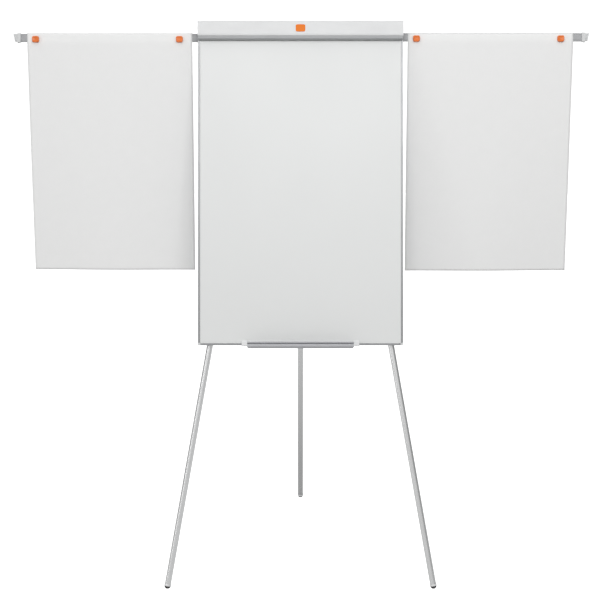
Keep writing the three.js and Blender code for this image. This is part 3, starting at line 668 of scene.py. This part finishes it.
def wire(points, radius, sides=12):
    """A round wire along a line of points, closed at both ends."""
    bm = bmesh.new()
    rings = []
    normal = Vector((0.13, 0.57, 0.81))
    for i, point in enumerate(points):
        along = (points[min(i + 1, len(points) - 1)] - points[max(i - 1, 0)]).normalized()
        normal = (normal - along * normal.dot(along)).normalized()
        other = along.cross(normal)
        rings.append([
            bm.verts.new(point + radius * (normal * math.cos(a) + other * math.sin(a)))
            for a in (2 * math.pi * k / sides for k in range(sides))
        ])
    for a, b in zip(rings, rings[1:]):
        for i in range(sides):
            j = (i + 1) % sides
            bm.faces.new((a[i], a[j], b[j], b[i]))
    bm.faces.new(rings[0])
    bm.faces.new(rings[-1])
    bmesh.ops.recalc_face_normals(bm, faces=bm.faces)
    return bm


def torsion_spring(x):
    """Three and a half turns round the rod, one leg under the cover and one on the base."""
    turns, coil, thick, steps = 3.5, 3.7, 0.6, 126
    length = SPRING_SLOT - 6
    points = [Vector((x - length / 2 - 1, HINGE_BACK - 15, -COVER_WALL - 2 * thick)),
              Vector((x - length / 2 - 0.8, HINGE_BACK - 8, -COVER_WALL - 3.2))]
    for i in range(steps + 1):
        angle = math.pi * (1 - 2 * turns * i / steps)
        points.append(Vector((x + length * (i / steps - 0.5), HINGE_BACK + coil * math.cos(angle),
                              -HINGE_DROP + coil * math.sin(angle))))
    points.append(Vector((x + length / 2 + 1, HINGE_BACK + 7.2, -HINGE_DROP - 4)))
    return wire(points, thick)


for (side_name, side), x in zip(SIDES, SPRINGS):
    node = f"clamp_spring_{side_name}"
    piece(f"spring_{side_name}", torsion_spring(x), ZINC, "root", [node])


def clamp_cover():
    """The white cover, one extruded shell with a hinge barrel behind and slots for lugs and springs."""
    low, high = reach("clamp_cover")
    front, drop = low.y, -low.z
    inner = front + COVER_WALL
    barrel = arc((HINGE_BACK, -HINGE_DROP), BARREL_RADIUS, 90, -149, 24)
    brow = corner_curve([
        (front + 1.4, -drop, 0.5), (front, -drop + 6, 2.0), (front, 0, 6.5), (HINGE_BACK - 4, 0),
        (HINGE_BACK - 3, 0), (1, -COVER_WALL), (inner, -COVER_WALL, 4), (inner, -drop, 0.4),
    ], steps=10)
    split = max(range(len(brow)), key=lambda i: (brow[i][0] > HINGE_BACK - 3.5, -i))
    section = [tuple(p) for p in brow[:split]] + barrel + [tuple(p) for p in brow[split + 1:]]
    slots = [
        brick((x - width / 2 - GAP, HINGE_BACK - BARREL_RADIUS - 0.6, -13),
              (x + width / 2 + GAP, 20, 1))
        for places, width in ((LUGS, LUG_WIDTH), (SPRINGS, SPRING_SLOT)) for x in places
    ]
    bore = at_hinge(rod(ROD_RADIUS + 0.4, low.x - 1, high.x + 1))
    shell = carve(prism(section, low.x, high.x), [bore, *slots])
    piece("header_cover", shell, COVER, "pad_clamp", ["clamp_cover"], bevel=0.3)


def clamp_bar():
    """The grey jaw: a bowed face above a foot that slopes back, and an upstand behind the cover."""
    low, high = reach("clamp_bar")
    face, foot = low.y, low.z
    cover_foot = reach("clamp_cover")[0].z
    top = cover_foot - GAP
    upstand = reach("clamp_cover")[0].y + COVER_WALL + GAP
    section = corner_curve([
        (face + 1.6, top, 0.4), (face + 0.2, top - 2, 1.2), (face, top - 6.6, 2), (face + 0.7, top - 9.4, 1),
        (face + 2.2, top - 10.6, 0.8), (-6.3, foot), (-6.3, foot + 2.4), (face + 4.6, top - 8.1, 1),
        (face + 3, top - 6, 1.2), (face + 2.8, top - 3.2, 1), (upstand + 2, top - 1.4, 0.8),
        (upstand + 2, high.z, 0.5), (upstand, high.z, 0.5), (upstand, top, 0.1),
    ], steps=6)
    piece("clamp_jaw", prism(section, low.x, high.x), JAW, "pad_clamp", ["clamp_bar"],
          bevel=0.2, segments=1)


def clamp_grip():
    """The rubber strip on the jaw's foot, with two ridges that press on the pad."""
    low, high = reach("clamp_grip")
    front, back, foot, head = low.y, high.y, low.z, high.z
    section = corner_curve([
        (front, foot), (front, foot + 5, 0.4), (back - 1.1, head, 0.5), (back, head - 1, 0.5),
        (back, head - 2.1, 0.4), (back - 0.7, head - 2.8, 0.3), (back, head - 3.5, 0.4),
        (back, foot + 1, 0.5), (back - 1.1, foot, 0.5),
    ], steps=4)
    piece("grip_strip", prism(section, low.x, high.x), RUBBER, "pad_clamp",
          ["clamp_grip"])


clamp_cover()
clamp_bar()
clamp_grip()


def superellipse(width, height, power, steps=64):
    """A rounded rectangle without straight sides, as (x, height) points."""
    points = []
    for i in range(steps):
        angle = 2 * math.pi * i / steps
        c, s = math.cos(angle), math.sin(angle)
        points.append((width / 2 * math.copysign(abs(c) ** (2 / power), c),
                       height / 2 * math.copysign(abs(s) ** (2 / power), s)))
    return points


def button(width, height, layers, power=5.0):
    """A moulded button standing out of the board: layers are (inset, depth) from back to front."""
    bm = bmesh.new()
    loops = []
    for inset, depth in layers:
        outline = superellipse(width - 2 * inset, height - 2 * inset, power)
        loops.append([bm.verts.new((x, depth, z)) for x, z in outline])
    for a, b in zip(loops, loops[1:]):
        for i in range(len(a)):
            j = (i + 1) % len(a)
            bm.faces.new((a[i], a[j], b[j], b[i]))
    bm.faces.new(loops[0])
    last = loops[-1]
    peak = bm.verts.new((0, layers[-1][1] + (layers[-1][1] - layers[-2][1]) * 0.2, 0))
    for i in range(len(last)):
        bm.faces.new((last[i], last[(i + 1) % len(last)], peak))
    bmesh.ops.recalc_face_normals(bm, faces=bm.faces)
    return bm


def placed_button(name, node, paint, body, layers, power):
    """A button in the place of this node."""
    low, high = reach(node)
    center = (low + high) / 2
    bm = button(high.x - low.x, high.z - low.z, layers(low.y, high.y), power)
    bm.transform(Matrix.Translation((center.x, 0, center.z)))
    piece(name, bm, paint, body, [node], sharp=50)


placed_button("header_badge", "clamp_badge", BADGE, "pad_clamp",
              lambda front, back: [(0.1, back), (0, back - 0.2), (0, front + 0.45), (0.25, front + 0.15),
                                   (0.8, front), (1.5, front + 0.02), (1.8, front + 0.18),
                                   (2.4, front + 0.2)], 6)

# ---------- pad hooks and their rail

softened("pad_hook_rail", "hook_rail", PROFILE, 0.25)


def pad_hook(side_name):
    """A peg with a sliding shoe and a fluted nut, its tip rounded for the pad's punched hole."""
    node = f"pad_hook_{side_name}"
    low, high = reach(node)
    center = (low + high) / 2
    profile = [(0, 0), (6.2, 0), (6.6, 0.4), (6.6, 1.1), (6.3, 1.4), (2.6, 1.4), (2.6, 3.4), (5.4, 3.4),
               (5.7, 3.7), (5.7, 6.7), (5.4, 7), (3.6, 7), (3.6, 8.8), (3.3, 9.7), (2.9, 10.3),
               (2.2, 10.6), (0, 10.6)]
    bm = lathe(profile, 96, (3.5, 6.9, 16, 0.25))
    turned = Matrix.Rotation(math.pi / 2, 4, "X")
    moved(bm, Matrix.Translation((center.x, high.y, center.z)), turned)
    piece(f"hook_{side_name}", bm, GREY, f"hook_{side_name}", [node])


for side_name, side in SIDES:
    pad_hook(side_name)

# ---------- side arms

for node, name, bevel in (
    ("arm_rail", "arm_channel", 0.35),
    ("arm_rail_divider", "arm_channel_divider", 0.2),
    ("arm_rail_back", "arm_channel_back", 0.2),
):
    softened(node, name, PROFILE, bevel)


def side_arm(side_name):
    """A roll-formed arm: a channel with returned lips and two shallow stiffening grooves."""
    node = f"{side_name}_arm"
    low, high = reach(node)
    front, back, foot, head = low.y, high.y, low.z, high.z
    wall = 1.5

    def groove(z):
        deep = front + 0.55
        return [(front, z - 1.1), (deep, z - 0.5), (deep, z + 0.5), (front, z + 1.1)]

    section = corner_curve([
        (back, foot, 1.2), (front, foot, 1.5), *groove(foot + 4.4), *groove(head - 4.4),
        (front, head, 1.5), (back, head, 1.2), (back, head - 4), (back - wall, head - 4),
        (back - wall, head - wall), (front + wall, head - wall), (front + wall, foot + wall),
        (back - wall, foot + wall), (back - wall, foot + 4), (back, foot + 4),
    ], steps=5)
    piece(f"{side_name}_pull_arm", prism(section, low.x, high.x), ARM, f"arm_{side_name}",
          [node], bevel=0.2, segments=1)


def end_cap(side_name, side):
    """A moulded cap with a parting seam behind its grip and slanted finger grooves on both faces."""
    node = f"{side_name}_arm_cap"
    low, high = reach(node)
    outer = low.x if side < 0 else high.x
    grooves = []
    for from_head, from_foot, width in ((13.4, 13.4, 1.5), (8.4, 11.2, 1.3), (4, 8.4, 1.3)):
        outline = [
            (outer - side * from_head, high.z + 1), (outer - side * (from_head + width), high.z + 1),
            (outer - side * (from_foot + width), low.z - 1), (outer - side * from_foot, low.z - 1),
        ]
        grooves.append(prism(outline, low.y - 1, low.y + 0.9, "d"))
        grooves.append(prism(outline, high.y - 0.9, high.y + 1, "d"))
    piece(f"{side_name}_end_cap", carve(copy_of(node, BOARD), grooves), PALE, f"arm_{side_name}",
          [node], bevel=0.35)


for side_name, side in SIDES:
    side_arm(side_name)
    end_cap(side_name, side)

# ---------- paper sheets and magnets


SHEET_THICK = 0.4
SHEET_ROLL = 11
SHEET_CURL = 9
SHEET_LIFT = 5
SHEET_COCKLE = 2.2


def hanging_sheet(side_name, side):
    """One sheet of flipchart paper held at its head: flat on the arm, then hanging plumb with the
    slight roll and cockle that it keeps from its pad."""
    node = f"{side_name}_sheet"
    low, high = reach(node)
    arm = reach(f"{side_name}_arm")[0]
    width, length = SHEET_SIZE[0] / MM, SHEET_SIZE[1] / MM
    outer = low.x if side < 0 else high.x
    lean = math.atan2(-BACK.z, BACK.y)
    columns, rows = 72, 104
    held = high.z - arm.z
    phase = 3.7 if side < 0 else 9.2
    bm = bmesh.new()
    grid = []
    for row in range(rows + 1):
        line = []
        down = length * row / rows
        free = max(down - held, 0) / (length - held)
        soft = free * free * (3 - 2 * free)
        for column in range(columns + 1):
            across = column / columns
            x = outer - side * width * across
            bend = 0.5 * (1 - math.cos(2 * math.pi * across)) - 0.35
            roll = -SHEET_ROLL * soft * bend
            curl = -SHEET_CURL * free**3 * across**3 + SHEET_LIFT * free**4 * (1 - across) ** 3
            crease = noise.noise(Vector((across * 2.3 + phase, free * 1.9, phase)))
            out = roll + curl + SHEET_COCKLE * soft * crease
            along = max(down - held, 0)
            depth = arm.y - GAP - SHEET_THICK / 2 + along * math.sin(lean)
            height = high.z - min(down, held) - along * math.cos(lean)
            line.append(bm.verts.new((x, depth + out * math.cos(lean), height + out * math.sin(lean))))
        grid.append(line)
    for a, b in zip(grid, grid[1:]):
        for i in range(columns):
            bm.faces.new((a[i], a[i + 1], b[i + 1], b[i]))
    bmesh.ops.recalc_face_normals(bm, faces=bm.faces)
    made = piece(f"{side_name}_paper", bm, PAPER, f"paper_{side_name}", [node], sharp=80)
    leaf = made.modifiers.new("leaf", "SOLIDIFY")
    leaf.thickness = SHEET_THICK * MM
    leaf.offset = 0


def magnet(side_name, place):
    """A round-cornered magnet button with a rounded rim and a dished face for the fingertip."""
    node = f"{side_name}_{place}_magnet"
    placed_button(f"{node}_button", node, ORANGE, f"magnet_{side_name}_{place}",
                  lambda front, back: [(0.8, back), (0.2, back - 0.3), (0, back - 1), (0.1, front + 3.2),
                                       (0.5, front + 1.4), (1.2, front + 0.4), (2.1, front),
                                       (3.2, front + 0.3), (4.6, front + 0.95), (6.4, front + 1.65),
                                       (8.4, front + 1.95)], 4.2)


for side_name, side in SIDES:
    hanging_sheet(side_name, side)
    for place in ("inner", "outer"):
        magnet(side_name, place)

# ---------- head bracket, pins and cradles

softened("head_bracket", "bracket", ZINC, 0.5)
for side_name, side in SIDES:
    softened(f"{side_name}_leg_cradle", f"{side_name}_cradle", GREY, 0.45)


def domed_head(radius, height, base, way):
    """Points of a rivet head, from its rim to its crown."""
    rim = base + way * height * 0.35
    crown = way * height * 0.65
    turns = [math.radians(a) for a in range(15, 90, 15)]
    dome = [(radius * math.cos(turn), rim + crown * math.sin(turn)) for turn in turns]
    return [(radius, base), (radius, rim), *dome, (0, base + way * height)]


def front_pin(side_name):
    """A front leg's pivot: a pin through the board's depth with a domed head behind."""
    node = f"{side_name}_leg_pin"
    low, high = reach(node)
    center = (low + high) / 2
    profile = [(0, low.y), (3.5, low.y), (4, low.y + 0.5), (4, high.y - 2.7)]
    profile += domed_head(7, 2.7, high.y - 2.7, 1)
    upright = Matrix.Rotation(-math.pi / 2, 4, "X")
    bm = moved(lathe(profile), Matrix.Translation((center.x, 0, center.z)), upright)
    piece(f"{side_name}_rivet", bm, ZINC, "root", [node])


def rear_pin():
    """The rear leg's pivot: a cross pin with a domed head at each end."""
    low, high = reach("rear_leg_pin")
    center = (low + high) / 2
    head = domed_head(6.5, 3, high.x - 3, 1)
    profile = [(r, -z) for r, z in reversed(head)] + [(4, low.x + 3), (4, high.x - 3)] + head
    bm = moved(lathe(profile), Matrix.Translation((0, center.y, center.z)), SIDEWAYS)
    piece("rear_rivet", bm, ZINC, "root", ["rear_leg_pin"])


for side_name, side in SIDES:
    front_pin(side_name)
rear_pin()

# ---------- telescopic legs


TUBE_SIDES = 72
UPPER_WALL = 1.0
LOWER_WALL = 1.2
PIN_BORE = 4.3
LEVER_HALF = 8
LEVER_CAM = 3.8
EYE_RADIUS = 2.5
TRUNNION_RADIUS = 2.2


def leg_plug(name, space, body):
    """The head plug: a plain stem in the tube, a collar with one groove and a rounded head, drilled for the
    pin.
    """
    node = f"{name}_leg_plug"
    low, high = reach(node, space)
    tube_head = reach(f"{name}_upper_tube", space)[1].z
    radius = high.x
    stem = radius - 2
    profile = [
        (0, low.z), (stem - 0.9, low.z), (stem, low.z + 1.2), (stem, tube_head + GAP),
        (radius, tube_head + GAP), (radius, tube_head + 2.6), (radius - 0.5, tube_head + 3),
        (radius - 0.5, tube_head + 3.8), (radius, tube_head + 4.2), (radius, 6),
    ]
    for degrees in range(15, 91, 15):
        turn = math.radians(degrees)
        profile.append((8 + (radius - 8) * math.cos(turn), 6 + 6.5 * math.sin(turn)))
    profile += [(6, 13.4), (3, 13.9), (0, 14)]
    across = SIDEWAYS if name == "rear" else Matrix.Rotation(math.pi / 2, 4, "X")
    hole = moved(rod(PIN_BORE, -20, 20), across)
    piece(f"{name}_head_plug", carve(lathe(profile), [hole]), GREY, body, [node], space,
          bevel=0.2, segments=1)


def leg_tube(node, name, space, body):
    """A drawn tube with softened ends."""
    low, high = reach(node, space)
    outer = high.x
    inner = outer - (UPPER_WALL if "upper" in node else LOWER_WALL)
    ease = 0.35
    profile = [(inner, low.z), (outer - ease, low.z), (outer, low.z + ease), (outer, high.z - ease),
               (outer - ease, high.z), (inner, high.z)]
    # The rear leg takes the copy with the deeper painted shade.
    paint = SHADED_REAR_TUBE if body.endswith("rear") else TUBE
    piece(name, lathe(profile, TUBE_SIDES), paint, body, [node], space)


def lock_collar(name, space, body, pin):
    """The lock's collar: fluted grip bands, and two ears for the cam lever."""
    node = f"{name}_lock_collar"
    low, high = reach(node, space)
    tube_low, tube_high = reach(f"{name}_upper_tube", space)
    tube_foot = tube_low.z
    radius = -low.x
    bore = tube_high.x + GAP
    throat = reach(f"{name}_lower_tube", space)[1].x + 0.4
    band = [(radius, high.z - 3)]
    for k in range(5):
        z = high.z - 6 - 7.6 * k
        band += [(radius, z + 1.2), (radius - 0.5, z + 0.7), (radius - 0.5, z - 0.7), (radius, z - 1.2)]
    profile = [(bore, high.z), (radius - 1.5, high.z), *band, (radius, low.z + 3), (radius - 1.5, low.z),
               (throat, low.z), (throat, tube_foot - GAP), (bore, tube_foot - GAP)]
    ears = []
    for side in (-1, 1):
        ear = corner_curve([
            (11.6, pin.z - 7), (pin.y + 1, pin.z - 6, 4), (pin.y + 4, pin.z - 1, 4),
            (pin.y + 4, pin.z + 2, 4), (pin.y + 1, pin.z + 6, 4), (11.6, pin.z + 7),
        ], steps=6)
        ears.append(prism(ear, *sorted((side * (LEVER_HALF + GAP), side * (LEVER_HALF + 3)))))
    eye = moved(rod(EYE_RADIUS, -15, 15, segments=32), Matrix.Translation(pin), SIDEWAYS)
    collar = carve(lathe(profile, TUBE_SIDES), [eye], ears)
    piece(f"{name}_collar", collar, GREY, body, [node], space, bevel=0.3, segments=2,
          sharp=38)


def lock_lever(name, space, pin):
    """The cam lever: a cam with trunnions and a paddle with a ribbed, upturned tip."""
    node = f"{name}_lock_lever"
    half, cam = LEVER_HALF, LEVER_CAM
    outline = [(p[0], p[1]) for p in arc((0, 0), cam, 0, 180, 18)]
    outline += [(-cam, -8), (-3.5, -20), (-3.2, -31), (-1.6, -37)]
    outline += [(0.5, -42), (4, -42), (3.1, -38), (1.6, -31), (2.4, -20), (cam, -8)]
    section = [(p[0] + pin.y, p[1] + pin.z) for p in outline]
    paddle = prism(section, -half, half)
    ribs = []
    for k in range(4):
        z = pin.z - 29 - 2.6 * k
        y = pin.y + 1.9 + 0.22 * k
        ribs.append(brick((-half + 1.6, y - 1.2, z - 0.6), (half - 1.6, y + 0.6, z + 0.6)))
    trunnion = rod(TRUNNION_RADIUS, -half - 3.4, half + 3.4, 0.3, 32)
    moved(trunnion, Matrix.Translation(pin), SIDEWAYS)
    piece(f"{name}_lever", carve(paddle, [], [trunnion, *ribs]), BLACK, f"lock_{name}",
          [node], space, bevel=0.45, segments=2, sharp=38)


def rubber_foot(name, space, body):
    """The rubber foot: a stem in the tube and a ringed dome that is worn level with the floor."""
    node = f"{name}_rubber_foot"
    high = reach(node, space)[1]
    tube_low, tube_high = reach(f"{name}_lower_tube", space)
    radius = high.x
    stem = tube_high.x - 1.5
    base = tube_low.z - GAP
    center = base - 1.2
    dome = [(radius * math.cos(math.radians(a)), center - radius * math.sin(math.radians(a)))
            for a in range(6, 90, 6)]
    profile = [(0, high.z), (stem - 0.5, high.z), (stem, high.z - 0.8), (stem, base), (radius - 0.4, base),
               (radius, base - 0.4), (radius, center), *dome, (0, center - radius)]
    bm = lathe(profile, TUBE_SIDES)
    world_down = space.inverted().to_3x3() @ Vector((0, 0, -1))
    floor_point = space.inverted() @ Vector((0, 0, 0)) / MM
    cut = bmesh.ops.bisect_plane(bm, geom=[*bm.verts, *bm.edges, *bm.faces], plane_co=floor_point,
                                 plane_no=world_down, clear_outer=True)
    rim = [e for e in cut["geom_cut"] if isinstance(e, bmesh.types.BMEdge)]
    bmesh.ops.edgeloop_fill(bm, edges=rim)
    bmesh.ops.recalc_face_normals(bm, faces=bm.faces)
    piece(f"{name}_foot", bm, RUBBER, body, [node], space, bevel=0.25, segments=2, sharp=30)


def ferrule(name, space, body):
    """The pressed cup round the tube's end, rolled at both rims, that holds the rubber foot."""
    low, high = reach(f"{name}_lower_tube", space)
    inner = reach(f"{name}_rubber_foot", space)[1].x + 0.05
    outer = inner + 0.4
    head, foot = low.z + 4, low.z - 2.4
    profile = [(inner, foot), (outer - 0.1, foot), (outer, foot + 0.4), (outer, head - 0.5),
               (outer - 0.3, head), (high.x + 0.02, head), (high.x + 0.02, low.z), (inner, low.z)]
    piece(f"{name}_ferrule", lathe(profile, TUBE_SIDES), FERRULE, body, (), space)


for name in LEGS:
    space = LEG_AXES[name]
    leg, extension = f"leg_{name}", f"extension_{name}"
    leg_plug(name, space, leg)
    leg_tube(f"{name}_upper_tube", f"{name}_outer_tube", space, leg)
    leg_tube(f"{name}_lower_tube", f"{name}_inner_tube", space, extension)
    pin = space.inverted() @ Vector(JOINTS[f"{name}_leg_lock"]["pos_m"]) / MM
    lock_collar(name, space, leg, pin)
    lock_lever(name, space, pin)
    rubber_foot(name, space, extension)
    ferrule(name, space, extension)

# ---------- screws


def screw_head(radius, height):
    """A pan head with a cross recess, standing on z = 0."""
    profile = [(0, -1), (radius * 0.55, -1), (radius * 0.55, 0), (radius, 0),
               (radius, height * 0.35), (radius * 0.86, height * 0.75), (radius * 0.6, height * 0.95),
               (0, height)]
    wing, slit = radius * 0.5, radius * 0.11
    recess = [brick((-wing, -slit, height * 0.4), (wing, slit, height + 1)),
              brick((-slit, -wing, height * 0.4), (slit, wing, height + 1))]
    return carve(lathe(profile, 40), recess)


def fixings(name, places, depth, radius, height):
    """Several identical heads on one face of the board that looks backwards."""
    heads = []
    for i, (x, z) in enumerate(places):
        turn = Matrix.Rotation(math.radians(37 * i), 4, "Z")
        face = Matrix.Rotation(-math.pi / 2, 4, "X")
        heads.append(moved(screw_head(radius, height), Matrix.Translation((x, depth, z)), face, turn))
    piece(name, merge(*heads), ZINC, "root")


plate_low, plate_high = reach("header_base")
fixings("header_screws", [(x, plate_low.z + 9) for x in range(-300, 301, 120)], plate_high.y, 3.8, 2.2)
bracket_low, bracket_high = reach("head_bracket")
fixings("bracket_screws", [(x, bracket_low.z + 24) for x in (-60, 60)], bracket_high.y, 3.6, 2.2)
trim_low, trim_high = reach("frame_rail_left")
fixings("trim_screws", [(side * (trim_high.x + 3.4), trim_low.z + 14 + 250 * k)
                        for side in (1, -1) for k in range(4)], trim_high.y, 2.2, 1.2)

# ---------- studio and camera


BACKDROP = (1.2, 1.2, 1.2, 1)
FLOOR_HALF = 14
FLOOR_IN_MIRRORS = 0.22


def studio_world():
    """White behind the object; for light and reflections, a soft room brighter above and to the left."""
    world = bpy.data.worlds.new("studio")
    bpy.context.scene.world = world
    world.use_nodes = True
    tree = world.node_tree
    shader = tree.nodes["Background"]
    place = tree.nodes.new("ShaderNodeTexCoord")
    split = tree.nodes.new("ShaderNodeSeparateXYZ")
    tree.links.new(place.outputs["Generated"], split.inputs["Vector"])

    def brightness(axis, stops):
        return color_ramp(tree, map_range(tree, split.outputs[axis], -1, 1), stops)

    height = brightness("Z", [(0, 0.4), (0.42, 0.56), (0.6, 0.85), (1, 0.9)])
    sideways = brightness("X", [
        (0, 0.3), (0.04, 0.45), (0.12, 0.95), (0.5, 0.92), (0.75, 0.75), (0.9, 0.4), (1, 0.25)
    ])
    room = tree.nodes.new("ShaderNodeMix")
    room.data_type = "RGBA"
    room.blend_type = "MULTIPLY"
    room.inputs["Factor"].default_value = 1
    tree.links.new(height, room.inputs["A"])
    tree.links.new(sideways, room.inputs["B"])
    seen = tree.nodes.new("ShaderNodeLightPath")
    choice = tree.nodes.new("ShaderNodeMix")
    choice.data_type = "RGBA"
    tree.links.new(seen.outputs["Is Camera Ray"], choice.inputs["Factor"])
    tree.links.new(room.outputs["Result"], choice.inputs["A"])
    choice.inputs["B"].default_value = BACKDROP
    tree.links.new(choice.outputs["Result"], shader.inputs["Color"])


def softbox(name, at, towards, size, watts):
    """A rectangular studio light that isn't seen itself."""
    light = bpy.data.lights.new(name, "AREA")
    light.shape = "RECTANGLE"
    light.size, light.size_y = size
    light.energy = watts
    made = bpy.data.objects.new(name, light)
    bpy.context.scene.collection.objects.link(made)
    made.location = at
    made.rotation_euler = (Vector(towards) - Vector(at)).to_track_quat("-Z", "Y").to_euler()
    made.visible_camera = False


def pale_floor():
    """A pale, softly lit floor that runs into the white behind the object."""
    bm = bmesh.new()
    corners = ((-1, -1, 0), (1, -1, 0), (1, 1, 0), (-1, 1, 0))
    bm.faces.new([bm.verts.new(Vector(corner) * FLOOR_HALF) for corner in corners])
    mesh = bpy.data.meshes.new("floor")
    bm.to_mesh(mesh)
    bm.free()
    floor = bpy.data.objects.new("floor", mesh)
    bpy.context.scene.collection.objects.link(floor)
    paint = bpy.data.materials.new("pale_floor")
    paint.use_nodes = True
    tree = paint.node_tree
    matte = tree.nodes["Principled BSDF"]
    matte.inputs["Base Color"].default_value = (0.45, 0.45, 0.45, 1)
    matte.inputs["Roughness"].default_value = 0.9
    matte.inputs["Specular IOR Level"].default_value = 0.1
    glow = tree.nodes.new("ShaderNodeEmission")
    seen = tree.nodes.new("ShaderNodeLightPath")
    mirrored = tree.nodes.new("ShaderNodeMath")
    mirrored.operation = "MULTIPLY_ADD"
    mirrored.inputs[1].default_value = FLOOR_IN_MIRRORS
    tree.links.new(seen.outputs["Is Glossy Ray"], mirrored.inputs[0])
    tree.links.new(seen.outputs["Is Camera Ray"], mirrored.inputs[2])
    tree.links.new(mirrored.outputs["Value"], glow.inputs["Strength"])
    both = tree.nodes.new("ShaderNodeAddShader")
    tree.links.new(matte.outputs["BSDF"], both.inputs[0])
    tree.links.new(glow.outputs["Emission"], both.inputs[1])
    tree.links.new(both.outputs["Shader"], tree.nodes["Material Output"].inputs["Surface"])
    mesh.materials.append(paint)


EYE = (-1.7, -4483, -948.3)
FOCAL_LENGTH = 78.9


def photo_camera():
    """The photograph's view: along the board's normal, with its axis near the board's foot."""
    lens = bpy.data.cameras.new("camera")
    lens.lens = FOCAL_LENGTH
    lens.sensor_width = 36
    lens.clip_end = 100
    camera = bpy.data.objects.new("camera", lens)
    bpy.context.scene.collection.objects.link(camera)
    eye = BOARD @ (Vector(EYE) * MM)
    turn = Matrix((RIGHT, UP, -BACK)).transposed().to_4x4()
    camera.matrix_world = Matrix.Translation(eye) @ turn
    bpy.context.scene.camera = camera


studio_world()
pale_floor()
softbox("key", (0.3, -3.5, 3.1), (0.1, -0.2, 1.6), (3.2, 1.6), 58)
softbox("strip", (-2.8, -2.2, 1.0), (0, -0.3, 0.8), (0.35, 2.2), 5)
softbox("back", (-1.5, 3.2, 3.0), (0, 0, 1.2), (3.0, 2.0), 45)
photo_camera()
bpy.context.scene.view_settings.view_transform = "Standard"
